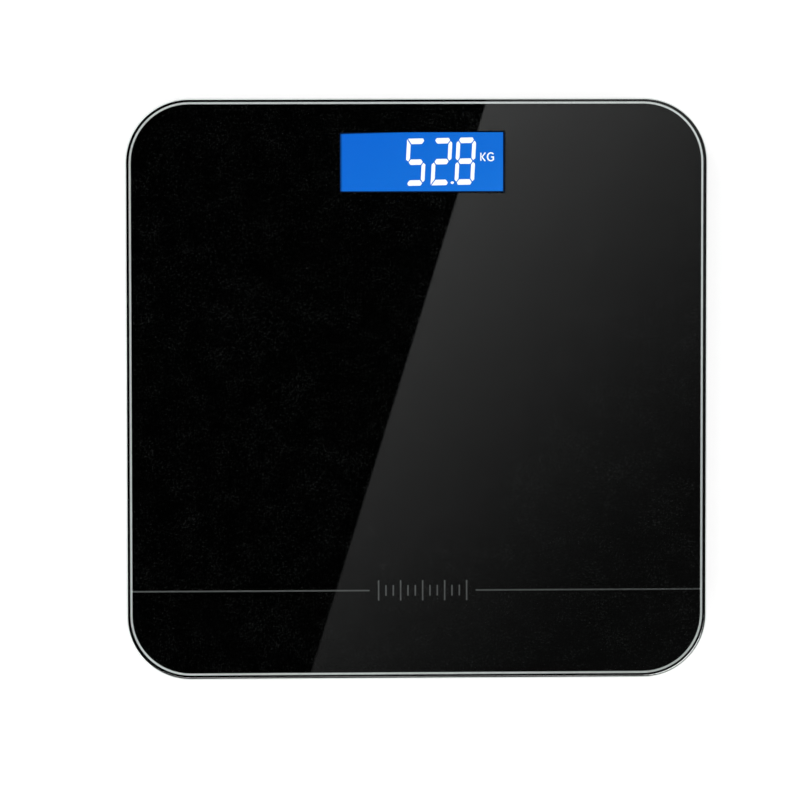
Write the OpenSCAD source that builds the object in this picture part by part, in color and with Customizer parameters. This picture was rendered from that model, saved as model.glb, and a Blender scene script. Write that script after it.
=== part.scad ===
// Digital bathroom scale: a glass platform on a plastic housing with four weighing feet.
// Millimetres. The origin is on the floor under the middle of the glass, +Z is up,
// +Y points to the end with the display and -Y to the user's end.

/* [Glass platform] */
// Width of the glass, left to right
plate_w = 300; // [290:1:360]
// Depth of the glass, front to back
plate_d = 300; // [290:1:360]
// Corner radius of the glass seen from above
corner_r = 33; // [26:1:42]
// Thickness of the tempered glass
glass_t = 6; // [4:0.5:8]
// Radius ground on the upper edge of the glass
glass_top_r = 1.2; // [0.4:0.1:1.8]
// Radius ground on the lower edge of the glass
glass_low_r = 0.8; // [0.4:0.1:1.8]

/* [Print under the glass] */
// Thickness of the black print
print_t = 0.2; // [0.1:0.05:0.4]
// Bare rim of glass outside the print
print_inset = 0.8; // [0.4:0.1:3]
// Distance from the edge of the print to the silver border line
border_inset = 1.1; // [0.6:0.1:6]
// Width of the silver border line
border_w = 1.05; // [0.6:0.05:3]
// Distance from the front edge of the glass to the front line
front_line_back = 45.6; // [38:0.1:60]
// Width of the front line
front_line_w = 0.75; // [0.4:0.05:2]
// Length of the gap in the front line
front_gap_w = 55; // [52:1:90]
// Distance between the graduation ticks in the gap
tick_pitch = 3.8; // [2:0.1:4]
// Number of small graduation ticks between two tall ones
small_ticks = 2; // [1:1:3]
// Height of the tall ticks
tall_tick_h = 10.5; // [6:0.5:14]
// Height of the small ticks
small_tick_h = 5.5; // [3:0.5:9]

/* [Display] */
// Width of the display window
window_w = 84.9; // [60:0.1:104]
// Depth of the display window, front to back
window_d = 30.9; // [24:0.1:38]
// Distance from the back edge of the glass to the window
window_back = 17.6; // [16.5:0.1:40]
// Shift of the window to the right of the middle
window_x = 3; // [-8:0.5:8]
// Width of the border of the display glass beyond each side of the window
lcd_side = 3.55; // [3:0.05:6]
// Depth of the border of the rear display glass beyond each long side of the window
lcd_edge = 1.55; // [1:0.05:4]
// Thickness of one display glass
lcd_glass_t = 1.1; // [0.7:0.1:1.2]
// Thickness of the light guide behind the display glasses
guide_t = 3; // [2:0.1:3.2]

/* [Housing] */
// Distance from the edge of the glass in to the housing
housing_inset = 8; // [5:0.5:9]
// Thickness of the housing's side walls
wall_t = 2; // [1.6:0.1:2.4]
// Gap between the floor and the bottom cover
stand_off = 4; // [3.5:0.1:6]
// Thickness of the bottom cover
cover_t = 2; // [1.8:0.1:2.6]
// Clear height inside the housing
cavity_h = 10.2; // [10.2:0.1:13.5]
// Thickness of the carrier plate under the glass
carrier_t = 2; // [1.8:0.1:3]
// Thickness of the double-sided tape
tape_t = 0.6; // [0.4:0.1:1]
// Height of the bottom cover's side wall above its floor
cover_wall_h = 3; // [2.6:0.1:3.6]
// Radius of the bottom cover's outer lower edge
cover_edge_r = 2.5; // [1:0.1:3]
// Height of the open seam round the housing, above the bottom cover's wall
seam_h = 0.5; // [0.3:0.1:0.8]
// How far the open seam goes into the wall
seam_t = 0.6; // [0.4:0.1:0.8]
// Distance from the side of the housing in to the groove under the bottom cover
groove_in = 4; // [3.5:0.1:5]
// Width of the groove under the bottom cover
groove_w = 1.2; // [0.6:0.1:1.6]
// Depth of the groove under the bottom cover
groove_t = 0.5; // [0.2:0.1:0.8]
// Width of the blank recess for a rating label
label_w = 72; // [40:1:90]
// Depth of the blank recess for a rating label, front to back
label_d = 36; // [20:1:44]

/* [Feet and load cells] */
// Distance from the edges of the glass to the middle of a foot
foot_inset = 40; // [38:0.5:54]
// Diameter of the rubber pad
pad_d = 44; // [34:1:54]
// Thickness of the rubber pad
pad_t = 2.5; // [2:0.1:3]
// Width of the cup's rim round the rubber pad
cup_rim = 1.2; // [1:0.1:2]
// Width of a load cell's square plate
cell_w = 34; // [32:0.5:36]
// Thickness of a load cell's plate
cell_t = 3; // [2.4:0.1:3.2]
// Gap in which a foot drops when the scale is lifted
foot_drop = 0.3; // [0.2:0.05:0.5]
// Room above a foot's flange for its load cell to bend
cell_bend = 0.5; // [0.3:0.05:0.8]

/* [Batteries] */
// Diameter of one AAA cell
battery_d = 10.5; // [10:0.1:10.6]
// Length of one AAA cell with its nub
battery_l = 44.5; // [43:0.1:45]
// Distance between the middles of two cells
battery_pitch = 11.2; // [11:0.1:13]
// Length of the battery springs as fitted
spring_l = 4.2; // [3.6:0.1:6]
// Distance from the middle of the scale back to the middle of the battery bay
bay_y = 36; // [20:1:40]
// Thickness of the battery door
door_t = 1.6; // [1.4:0.1:1.8]

/* [Unit button] */
// Diameter of the unit button
button_d = 8.4; // [6:0.2:12]
// Travel of the unit button
button_travel = 0.3; // [0.2:0.05:0.5]

/* [Hidden] */

$fn = 64;

// Clearances shared by pieces that fit each other
snug = 0.1;
fit_gap = 0.2;
run_gap = 0.3;
free_gap = 0.5;

// Heights, from the floor up
cover_top = stand_off + cover_t;
carrier_z = cover_top + cavity_h;
carrier_top = carrier_z + carrier_t;
print_z = carrier_top + tape_t;
glass_z = print_z + print_t;
parting_z = cover_top + cover_wall_h;

// Housing seen from above
housing_w = plate_w - 2 * housing_inset;
housing_d = plate_d - 2 * housing_inset;
housing_r = corner_r - housing_inset;
lip_gap = 0.15;
lip_t = 1.2;
lip_h = 1.5;
tape_inset = 2;

// Blank recess for a rating label, under the bottom cover
label_t = 0.3;
label_r = 2;
label_y = -64;

// Silver print
print_w = plate_w - 2 * print_inset;
print_d = plate_d - 2 * print_inset;
print_r = corner_r - print_inset;
silver_t = print_t / 2;
line_y = front_line_back - plate_d / 2;
tall_step = small_ticks + 1;
tick_count = 2 * floor((front_gap_w / 2 - 2 * front_line_w) / tick_pitch / tall_step) * tall_step + 1;

// Display stack, from the carrier's upper face down
display_y = plate_d / 2 - window_back - window_d / 2;
polariser_t = 0.2;
polariser_inset = 0.5;
strip_w = 1.8;
strip_ledge = 0.5;
lcd_w = window_w + 2 * lcd_side;
lcd_rear_d = window_d + 2 * lcd_edge;
lcd_front_d = lcd_rear_d + 2 * (fit_gap + strip_w + strip_ledge);
front_glass_z = carrier_top - polariser_t - lcd_glass_t;
rear_glass_z = front_glass_z - lcd_glass_t;
guide_z = rear_glass_z - polariser_t - guide_t;
holder_floor_t = 1;
board_top = guide_z - holder_floor_t;
holder_wall = 1.3;
holder_w = lcd_w + 2 * fit_gap + 2 * holder_wall;
holder_d = lcd_front_d + 2 * fit_gap + 2 * holder_wall;
holder_low = 0.3;
strip_y = lcd_rear_d / 2 + fit_gap + strip_w / 2;
strip_end = 4;
strip_l = lcd_w - 2 * strip_end;
lamp_l = 1.6;
lamp_w = 3;
lamp_h = 2;
lamp_pitch = 10;
guide_w = lcd_w - 2 * lamp_l - 2 * fit_gap;
gasket_rim = 0.9;
gasket_past = 0.5;
gasket_w = lcd_w + 2 * gasket_past;
gasket_d = lcd_front_d;

// Main board and what is on it
board_t = 1.6;
board_z = board_top - board_t;
board_wing = 11.5;
board_w = holder_w + 2 * board_wing;
board_r = 1.5;
board_front_rim = 8;
board_d = holder_d + board_front_rim;
board_x = window_x;
board_back = 0.3;
board_y = display_y + holder_d / 2 + board_back - board_d / 2;
board_boss_d = 6;
board_screw_d = 2.2;
board_screw_hold = 3;
board_head_d = 4.4;
board_head_t = 1.4;
board_screw_in = 4;
board_screws_at = [
    for (sx = [-1, 1], sy = [-1, 1])
        [board_x + sx * (board_w / 2 - board_screw_in), board_y + sy * (board_d / 2 - board_screw_in)]
];
module_w = 8.4;
module_d = 14;
module_t = 0.8;
shield_w = 7;
shield_d = 9;
shield_t = 1.2;
module_x = board_x + (holder_w / 2 + board_w / 2) / 2;
module_y = display_y + 5;
shield_y = module_y - (module_d - shield_d) / 2 + free_gap;
chip_at = [board_x + 12, display_y - 2];
chip_d = 13;
chip_h = 1.4;
crystal_at = [board_x + 26, display_y + 4];
crystal_l = 10.5;
crystal_w = 4.4;
crystal_h = 2.2;
capacitor_size = [2, 1.2, 0.9];
capacitor_at = [board_x - 34, display_y + 10];
capacitor_pitch = 6;
capacitor_count = 6;
resistor_size = [1.2, 2, 0.5];
resistor_at = [board_x - 38, display_y + 5];
resistor_pitch = 4.5;
resistor_count = 8;

// Cover screws, and the bosses that they go into
screw_d = 2.9;
screw_head_d = 5.4;
screw_head_t = 1.7;
screw_l = 9;
counterbore_d = 6;
counterbore_h = 2.4;
screw_top = stand_off + counterbore_h + screw_l;
cover_post_d = 8.4;
carrier_boss_d = 7;
screw_clear = 2.45;
screw_in = housing_inset + wall_t + lip_gap + lip_t + cover_post_d / 2 + screw_clear;
screw_front_x = 70;
screw_back_x = 78;
screw_side_y = 45;
cover_screws_at = [
    for (s = [-1, 1]) each [
        [s * screw_front_x, -(plate_d / 2 - screw_in)],
        [s * screw_back_x, plate_d / 2 - screw_in],
        [s * (plate_w / 2 - screw_in), screw_side_y],
        [s * (plate_w / 2 - screw_in), -screw_side_y]
    ]
];

// Feet
cup_d = pad_d + 2 * (snug + cup_rim);
foot_x = plate_w / 2 - foot_inset;
foot_y = plate_d / 2 - foot_inset;
pad_seat_t = 0.5;
cup_z = pad_t - pad_seat_t;
cup_floor_t = 2.2;
cup_wall = 2.2;
cup_hole_gap = 0.5;
flange_w = 1.9;
flange_t = 1.5;
flange_z = cover_top + foot_drop;
collar_t = 1.4;
collar_h = 2;
pip_d = 8;
cup_rib_t = 1.4;
cup_rib_turn = 60;
cell_gap = 0.7;
cell_z = flange_z + flange_t + cell_bend + cell_gap;
cell_top = cell_z + cell_t;
pad_edge_r = 1;
pad_groove_w = 1.2;
pad_groove_t = 0.6;
pad_grooves_at = [pad_d / 2 - 5, pad_d / 2 - 11];

// Load cells: the leads leave along the cell's own +X
cell_r = 3;
tongue_w = 13;
tongue_l = 19;
slot_w = 1.8;
cell_frame_w = 4;
cell_rim_t = 2;
cell_rim_h = 2.2;
seal_l = 8;
seal_w = 8;
seal_h = 2.1;
lead_notch_w = 7;

// Leads: the height of their middles, and what holds them up
lead_d = 1.2;
lead_pitch = 1.5;
lead_drop = 3.15;
lead_z = carrier_z - lead_drop;
lead_sides = 8;
bends = 2;
hook_t = 1.2;
hook_l = 5;
front_hooks_y = [-0.55 * foot_y, -0.14 * foot_y, 0.24 * foot_y];
rib_t = 1.2;
rib_h = 2.2;
rib_pitch = 36;

// Battery bay
contact_t = 0.4;
contact_w = 9;
contact_h = 9;
tab_w = 3;
tab_l = 4.4;
bay_gap = 0.4;
bay_wall = 1.4;
bay_l = battery_l + spring_l + 2 * contact_t;
bay_w = 2 * battery_pitch + battery_d + 2 * bay_gap;
battery_z = stand_off + door_t + run_gap + battery_d / 2;
roof_z = battery_z + battery_d / 2 + run_gap;
nub_d = 3.8;
nub_l = 0.9;
battery_edge_r = 0.6;
spring_wire_d = 0.6;
spring_turns = 3.5;
spring_steps = 12;
spring_low_r = 3.6;
spring_high_r = 2.3;

// Battery door and the shelf that it closes against
door_side = 1.6;
door_margin = 6;
door_w = bay_l + 2 * bay_wall + 2 * door_side;
door_d = bay_w + 2 * bay_wall + 2 * door_margin;
door_r = 2;
door_front = bay_y - door_d / 2;
door_back = bay_y + door_d / 2;
shelf_z = stand_off + door_t + snug;
shelf_t = 1.2;
shelf_rim = 1.6;
tab_x = 18;
hinge_tab_w = 6;
hinge_arm_t = 1.4;
hinge_arm_in = 0.5;
hinge_hook_out = 2.4;
hinge_hook_t = 1;
hinge_slot_l = 5.6;
latch_w = 12;
latch_leaf_t = 1;
latch_gap = 1.6;
latch_nib = 0.8;
latch_h = 3.6;
finger_w = 16;
finger_l = 7;
finger_depth = 1.2;
grip_count = 4;
grip_in = 10;
grip_pitch = 2.4;
grip_w = 1;
grip_h = 0.3;
grip_l = 20;

// Unit button and the switch above it
button_x = -20;
button_in = 9;
button_y = board_y - board_d / 2 + button_in;
button_proud = 0.3;
button_edge_r = 0.6;
button_flange_d = button_d + 2.6;
button_flange_t = 0.9;
button_hole_d = button_d + 2 * run_gap;
button_top = cover_top + run_gap + button_flange_t;
switch_w = 6;
switch_r = 0.6;
switch_h = 1.8;
plunger_d = 3.4;
plunger_in = 0.6;

// Routes of the leads seen from above. X runs towards the middle of the scale from a foot,
// and away from the middle at the board; Y runs towards the back of the scale.
foot_span = 2 * foot_y;
front_route_at_foot = [
    [0, 0],
    [0, 0.18 * foot_span],
    [0, 0.45 * foot_span],
    [0, 0.68 * foot_span],
    [2, 0.8 * foot_span]
];
front_route_at_board = [[46, -13], [12, -13], [0, -11], [0, -4], [0, 3]];
back_route_at_foot = [[0, 0], [20, 0]];
back_route_at_board = [[6, 0], [-4, 0]];
battery_route_at_contact = [[0, 0], [4, 0], [7, 5]];
battery_route_at_board = [[12, -28], [0, -10], [0, -4], [0, 3]];
front_lead_x = 41;
battery_lead_x = 24;

// ---- shared shapes ----

// A rectangle with round corners, centred
module round_rect(w, d, r) {
    square([w, d - 2 * r], center = true);
    square([w - 2 * r, d], center = true);
    for (sx = [-1, 1], sy = [-1, 1])
        translate([sx * (w / 2 - r), sy * (d / 2 - r)])
            circle(r);
}

// A flat plate with round corners in plan
module plate(w, d, r, h) {
    linear_extrude(h)
        round_rect(w, d, r);
}

// A frame between two outlines that share their middle
module frame_plate(w, d, r, h, rim) {
    linear_extrude(h)
        difference() {
            round_rect(w, d, r);
            round_rect(w - 2 * rim, d - 2 * rim, max(r - rim, snug));
        }
}

// What a round corner of radius r loses from a square corner at the origin
module round_off(r) {
    difference() {
        translate([-snug, -snug])
            square(r + snug);
        translate([r, r])
            circle(r);
    }
}

// The upright section of a plate from its middle out to an edge that is rounded below and above
module edge_section(reach, h, low, high) {
    difference() {
        square([reach, h]);
        if (low > 0)
            translate([reach, 0])
                rotate(90)
                    round_off(low);
        if (high > 0)
            translate([reach, h])
                rotate(180)
                    round_off(high);
    }
}

// A plate with round corners in plan and round edges
module soft_plate(w, d, r, h, low, high) {
    for (s = [0, 1])
        mirror([s, 0, 0])
            translate([w / 2 - r, d / 2 - r, 0])
                rotate([90, 0, 0])
                    linear_extrude(d - 2 * r)
                        edge_section(r, h, low, high);
    for (s = [0, 1])
        mirror([0, s, 0])
            translate([-(w / 2 - r), 0, 0])
                rotate([90, 0, 90])
                    linear_extrude(w - 2 * r)
                        edge_section(d / 2, h, low, high);
    for (sx = [0, 1], sy = [0, 1])
        mirror([sx, 0, 0])
            mirror([0, sy, 0])
                translate([w / 2 - r, d / 2 - r, 0])
                    rotate_extrude(angle = 90)
                        edge_section(r, h, low, high);
}

// A box centred in X and Y that stands on z = 0
module block(w, d, h) {
    translate([-w / 2, -d / 2, 0])
        cube([w, d, h]);
}

// A pan-head screw: its head's underside is at z = 0 and its shank points up
module screw(shank_d, shank_l, head_d, head_t) {
    slot_l = head_d * 0.6;
    slot_t = head_d * 0.14;
    cylinder(d = shank_d, h = shank_l);
    difference() {
        translate([0, 0, -head_t])
            cylinder(d = head_d, h = head_t);
        for (a = [0, 90])
            rotate([0, 0, a])
                translate([0, 0, -head_t - 1])
                    block(slot_l, slot_t, 1 + head_t / 2);
    }
}

// ---- sweeping a round tube along points ----

function unit(v) = v / norm(v);

// Points with each corner cut into a smooth bend, both ends kept
function soften(p, times) = times == 0 ? p : soften(
    concat(
        [p[0]],
        [for (i = [0 : len(p) - 2]) each [0.75 * p[i] + 0.25 * p[i + 1], 0.25 * p[i] + 0.75 * p[i + 1]]],
        [p[len(p) - 1]]
    ),
    times - 1
);

function headings(p) = [
    for (i = [0 : len(p) - 1]) unit(p[min(i + 1, len(p) - 1)] - p[max(i - 1, 0)])
];

// A direction square to each heading, carried along without twist
function sideways(t, first) = [
    for (i = 0, s = unit(first - (first * t[0]) * t[0]);
         i < len(t);
         i = i + 1, s = i < len(t) ? unit(s - (s * t[i]) * t[i]) : s) s
];

function ring(p, t, s, r, sides) = [
    for (k = [0 : sides - 1])
        p + r * cos(360 * k / sides) * s + r * sin(360 * k / sides) * cross(t, s)
];

module tube(points, d, sides, first) {
    t = headings(points);
    s = sideways(t, first);
    rings = len(points);
    polyhedron(
        points = [for (i = [0 : rings - 1]) each ring(points[i], t[i], s[i], d / 2, sides)],
        faces = concat(
            [[for (k = [0 : sides - 1]) k]],
            [for (i = [0 : rings - 2], k = [0 : sides - 1]) [
                i * sides + k,
                (i + 1) * sides + k,
                (i + 1) * sides + (k + 1) % sides,
                i * sides + (k + 1) % sides
            ]],
            [[for (k = [sides - 1 : -1 : 0]) (rings - 1) * sides + k]]
        )
    );
}

// ---- platform ----

module glass_platform() {
    color([0.75, 0.85, 0.83, 0.5])
        translate([0, 0, glass_z])
            soft_plate(plate_w, plate_d, corner_r, glass_t, glass_low_r, glass_top_r);
}

// Outline of everything printed in silver
module silver_outline() {
    line_w = print_w / 2 - border_inset - border_w;
    difference() {
        round_rect(print_w - 2 * border_inset, print_d - 2 * border_inset, print_r - border_inset);
        round_rect(
            print_w - 2 * border_inset - 2 * border_w,
            print_d - 2 * border_inset - 2 * border_w,
            print_r - border_inset - border_w
        );
    }
    difference() {
        translate([-line_w - snug, line_y - front_line_w / 2])
            square([2 * line_w + 2 * snug, front_line_w]);
        translate([window_x - front_gap_w / 2, line_y - front_line_w])
            square([front_gap_w, 2 * front_line_w]);
    }
    for (i = [0 : tick_count - 1]) {
        tick_h = i % tall_step == 0 ? tall_tick_h : small_tick_h;
        translate([window_x + (i - (tick_count - 1) / 2) * tick_pitch, line_y])
            square([front_line_w, tick_h], center = true);
    }
}

module silver_print() {
    color([0.78, 0.79, 0.8])
        translate([0, 0, glass_z - silver_t])
            linear_extrude(silver_t)
                silver_outline();
}

module black_print() {
    color([0.02, 0.02, 0.02])
        difference() {
            translate([0, 0, print_z])
                plate(print_w, print_d, print_r, print_t);
            translate([0, 0, glass_z - silver_t])
                linear_extrude(print_t)
                    silver_outline();
            translate([window_x, display_y, print_z - 1])
                block(window_w, window_d, print_t + 2);
        }
}

module bonding_tape() {
    color([0.9, 0.9, 0.86])
        difference() {
            translate([0, 0, carrier_top])
                plate(
                    housing_w - 2 * tape_inset,
                    housing_d - 2 * tape_inset,
                    housing_r - tape_inset,
                    tape_t
                );
            translate([window_x, display_y, carrier_top - 1])
                block(gasket_w + 2 * free_gap, gasket_d + 2 * free_gap, tape_t + 2);
        }
}

// ---- housing ----

// Places its children at each load cell, turned so that the leads leave along +X
module at_cells() {
    for (sx = [-1, 1], sy = [-1, 1])
        at_cell(sx, sy)
            children();
}

module at_cell(sx, sy) {
    translate([sx * foot_x, sy * foot_y, 0])
        rotate([0, 0, sy < 0 ? 90 : (sx < 0 ? 0 : 180)])
            children();
}

// A web with a lip that holds a flat group of leads up; the leads run along X
module lead_hook() {
    drop = lead_d / 2 + snug;
    half = lead_pitch + lead_d / 2 + run_gap;
    translate([-hook_l / 2, half, lead_z - drop - hook_t])
        cube([hook_l, hook_t, carrier_z - lead_z + drop + hook_t + snug]);
    translate([-hook_l / 2, -half, lead_z - drop - hook_t])
        cube([hook_l, 2 * half + hook_t, hook_t]);
}

// The seat of one load cell, with the rim that keeps the cell in place
module cell_seat() {
    rim_w = cell_w + 2 * fit_gap + 2 * cell_rim_t;
    difference() {
        union() {
            translate([0, 0, cell_top])
                frame_plate(rim_w, rim_w, cell_r + cell_rim_t, carrier_z - cell_top + snug,
                    cell_rim_t + fit_gap + cell_frame_w);
            translate([0, 0, cell_top - cell_rim_h])
                frame_plate(rim_w, rim_w, cell_r + cell_rim_t, cell_rim_h + snug, cell_rim_t);
        }
        translate([cell_w / 4, -lead_notch_w / 2, cell_top])
            cube([cell_w / 2, lead_notch_w, carrier_z - cell_top]);
    }
}

module carrier_ribs() {
    bay_clear_w = bay_l + 2 * bay_wall + 4 * free_gap;
    bay_clear_d = bay_w + 2 * bay_wall + 4 * free_gap;
    rib_z = carrier_z - rib_h;
    across = floor((housing_w / 2 - wall_t - rib_t) / rib_pitch);
    along = floor((housing_d / 2 - wall_t - rib_t) / rib_pitch);
    difference() {
        union() {
            for (i = [-across : across])
                translate([i * rib_pitch, 0, rib_z])
                    block(rib_t, housing_d - 2 * wall_t + snug, rib_h + snug);
            for (i = [-along : along])
                translate([0, i * rib_pitch, rib_z])
                    block(housing_w - 2 * wall_t + snug, rib_t, rib_h + snug);
        }
        translate([0, bay_y, rib_z - 1])
            block(bay_clear_w, bay_clear_d, rib_h + 1);
        at_cells()
            translate([0, 0, rib_z - 1])
                block(cell_w - cell_frame_w, cell_w - cell_frame_w, rib_h + 1);
    }
}

module carrier_frame() {
    rim_z = parting_z;
    color([0.88, 0.88, 0.87])
        difference() {
            union() {
                translate([0, 0, carrier_z])
                    plate(housing_w, housing_d, housing_r, carrier_t);
                translate([0, 0, rim_z])
                    frame_plate(housing_w, housing_d, housing_r, carrier_z - rim_z + snug, wall_t);
                carrier_ribs();
                at_cells()
                    cell_seat();
                for (p = cover_screws_at)
                    translate([p[0], p[1], parting_z])
                        cylinder(d = carrier_boss_d, h = carrier_z - parting_z + snug);
                for (p = board_screws_at)
                    translate([p[0], p[1], board_top])
                        cylinder(d = board_boss_d, h = carrier_z - board_top + snug);
                for (s = [-1, 1]) {
                    for (y = front_hooks_y)
                        translate([s * foot_x, y, 0])
                            rotate([0, 0, 90])
                                lead_hook();
                    translate([s * (foot_x + board_w / 2) / 2, foot_y, 0])
                        lead_hook();
                }
            }
            // opening for the display holder
            translate([window_x, display_y, carrier_z - rib_h - 1])
                block(holder_w + 2 * free_gap, holder_d + 2 * free_gap, carrier_t + rib_h + 2);
            // room for the tops of the battery cells
            translate([0, bay_y, carrier_z - 1])
                block(bay_l, bay_w, roof_z - carrier_z + 1);
            for (p = cover_screws_at)
                translate([p[0], p[1], parting_z - 1])
                    cylinder(d = screw_d + snug, h = screw_top + free_gap - parting_z + 1);
            for (p = board_screws_at)
                translate([p[0], p[1], board_top - 1])
                    cylinder(d = board_screw_d + snug, h = board_screw_hold + free_gap + 1);
        }
}

// Walls that stand round the battery cells
module bay_walls() {
    wall_top = carrier_z - fit_gap;
    notch_w = tab_w + 2 * run_gap;
    notch_z = lead_z - lead_d / 2 - snug - contact_t - run_gap;
    difference() {
        translate([0, bay_y, shelf_z])
            block(bay_l + 2 * bay_wall, bay_w + 2 * bay_wall, wall_top - shelf_z);
        translate([0, bay_y, shelf_z - 1])
            block(bay_l, bay_w, wall_top - shelf_z + 2);
        for (s = [-1, 1])
            translate([s * (bay_l + bay_wall) / 2, bay_y - s * battery_pitch, notch_z])
                block(2 * bay_wall, notch_w, carrier_z - notch_z);
    }
}

// What the bottom cover loses to the battery door, its tabs and its latch
module door_openings() {
    translate([0, bay_y, stand_off - 1])
        plate(door_w + 2 * run_gap, door_d + 2 * run_gap, door_r + run_gap, 1 + door_t + snug);
    translate([0, bay_y, shelf_z - 1])
        block(bay_l, bay_w, shelf_t + 2);
    for (s = [-1, 1])
        translate([s * tab_x - hinge_tab_w / 2 - run_gap, door_front - run_gap, shelf_z - 1])
            cube([hinge_tab_w + 2 * run_gap, hinge_slot_l, shelf_t + 2]);
    translate([-latch_w / 2 - run_gap, latch_y() - latch_gap - run_gap, shelf_z - 1])
        cube([latch_w + 2 * run_gap, latch_gap + latch_leaf_t + 3 * run_gap, shelf_t + 2]);
}

module bottom_cover() {
    lip_rim = wall_t + lip_gap;
    inner_rim = lip_rim + lip_t;
    color([0.88, 0.88, 0.87])
        difference() {
            union() {
                difference() {
                    translate([0, 0, stand_off])
                        soft_plate(housing_w, housing_d, housing_r, parting_z - stand_off,
                            cover_edge_r, 0);
                    translate([0, 0, cover_top])
                        plate(housing_w - 2 * inner_rim, housing_d - 2 * inner_rim,
                            housing_r - inner_rim, parting_z);
                }
                translate([0, 0, parting_z - snug])
                    frame_plate(housing_w - 2 * lip_rim, housing_d - 2 * lip_rim,
                        housing_r - lip_rim, lip_h + snug, lip_t);
                for (p = cover_screws_at)
                    translate([p[0], p[1], cover_top - snug])
                        cylinder(d = cover_post_d, h = parting_z - cover_top + snug);
                for (sx = [-1, 1], sy = [-1, 1])
                    translate([sx * foot_x, sy * foot_y, cover_top - snug])
                        cylinder(d = collar_inner_d() + 2 * collar_t, h = collar_h + snug);
                translate([0, bay_y, shelf_z])
                    plate(door_w + 2 * shelf_rim, door_d + 2 * shelf_rim, door_r + shelf_rim, shelf_t);
                bay_walls();
            }
            door_openings();
            for (sx = [-1, 1], sy = [-1, 1])
                translate([sx * foot_x, sy * foot_y, 0]) {
                    cylinder(d = cup_d + 2 * cup_hole_gap, h = parting_z);
                    translate([0, 0, cover_top])
                        cylinder(d = collar_inner_d(), h = parting_z);
                }
            for (p = cover_screws_at)
                translate([p[0], p[1], stand_off - 1]) {
                    cylinder(d = screw_d + 2 * fit_gap, h = parting_z);
                    cylinder(d = counterbore_d, h = 1 + counterbore_h);
                }
            translate([button_x, button_y, stand_off - 1])
                cylinder(d = button_hole_d, h = cover_t + 2);
            // open seam under the carrier's wall
            translate([0, 0, parting_z - seam_h])
                frame_plate(housing_w + 2 * snug, housing_d + 2 * snug, housing_r + snug,
                    2 * seam_h, seam_t + snug);
            // groove round the underside
            translate([0, 0, stand_off - 1])
                frame_plate(housing_w - 2 * groove_in, housing_d - 2 * groove_in,
                    housing_r - groove_in, 1 + groove_t, groove_w);
            translate([0, label_y, stand_off - 1])
                plate(label_w, label_d, label_r, 1 + label_t);
            // hollow for a fingertip behind the battery door
            translate([0, door_back, stand_off - finger_l + finger_depth])
                rotate([0, 90, 0])
                    cylinder(r = finger_l, h = finger_w, center = true);
        }
}

module cover_screws() {
    color([0.6, 0.6, 0.62])
        for (p = cover_screws_at)
            translate([p[0], p[1], stand_off + counterbore_h])
                screw(screw_d, screw_l, screw_head_d, screw_head_t);
}

// ---- feet ----

function flange_d() = cup_d + 2 * flange_w;
function collar_inner_d() = flange_d() + 4 * run_gap;

module foot_cup(sx, sy) {
    color([0.85, 0.85, 0.84])
        translate([sx * foot_x, sy * foot_y, 0])
            difference() {
                union() {
                    translate([0, 0, cup_z])
                        cylinder(d = cup_d, h = flange_z - cup_z + flange_t);
                    translate([0, 0, flange_z])
                        cylinder(d = flange_d(), h = flange_t);
                }
                translate([0, 0, cup_z - 1])
                    cylinder(d = pad_d + 2 * snug, h = 1 + pad_t - cup_z);
                difference() {
                    translate([0, 0, pad_t + cup_floor_t])
                        cylinder(d = cup_d - 2 * cup_wall, h = cell_z);
                    translate([0, 0, pad_t])
                        cylinder(d = pip_d, h = cell_z - pad_t);
                    for (a = [0 : cup_rib_turn : 180 - cup_rib_turn])
                        rotate([0, 0, a])
                            translate([0, 0, pad_t])
                                block(cup_d, cup_rib_t, flange_z - pad_t);
                }
            }
    // the pip that presses on the load cell's tongue
    color([0.85, 0.85, 0.84])
        translate([sx * foot_x, sy * foot_y, pad_t + cup_floor_t - snug])
            cylinder(d = pip_d, h = cell_z - pad_t - cup_floor_t + snug);
}

module foot_pad(sx, sy) {
    color([0.2, 0.2, 0.21])
        translate([sx * foot_x, sy * foot_y, 0])
            rotate_extrude()
                difference() {
                    edge_section(pad_d / 2, pad_t, pad_edge_r, 0);
                    for (r = pad_grooves_at)
                        translate([r, -1])
                            square([pad_groove_w, 1 + pad_groove_t]);
                }
}

// ---- load cells ----

module load_cell(sx, sy) {
    slot_x = tongue_l / 2 + slot_w;
    color([0.62, 0.63, 0.65])
        at_cell(sx, sy)
            translate([0, 0, cell_z])
                linear_extrude(cell_t)
                    difference() {
                        round_rect(cell_w, cell_w, cell_r);
                        difference() {
                            translate([-tongue_l / 2, -tongue_w / 2 - slot_w])
                                square([slot_x + tongue_l / 2, tongue_w + 2 * slot_w]);
                            translate([-tongue_l, -tongue_w / 2])
                                square([tongue_l * 1.5, tongue_w]);
                        }
                    }
}

module gauge_seals() {
    color([0.95, 0.95, 0.93])
        at_cells()
            translate([-seal_l / 2, 0, cell_top])
                block(seal_l, seal_w, seal_h);
}

// ---- leads ----

// A route in plan moved sideways by a distance, the way a flat ribbon's wires run
function beside(p, s) = [
    for (i = [0 : len(p) - 1])
        let (a = unit(p[min(i + 1, len(p) - 1)] - p[max(i - 1, 0)]))
            p[i] + s * [-a[1], a[0]]
];

// A route lifted to the leads' height, whose last point goes down onto the board
function lifted(p) = concat(
    [for (q = p) [q[0], q[1], lead_z]],
    [[p[len(p) - 1][0], p[len(p) - 1][1], board_top]]
);

// Points turned to the side sx, with their X either way, and moved to a place
function placed(p, sx, way, at) = [for (q = p) [at[0] + sx * way * q[0], at[1] + q[1]]];

function back_route(sx) = concat(
    placed(back_route_at_foot, sx, -1, [sx * foot_x, foot_y]),
    placed(back_route_at_board, sx, 1, [board_x + sx * board_w / 2, foot_y])
);

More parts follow.
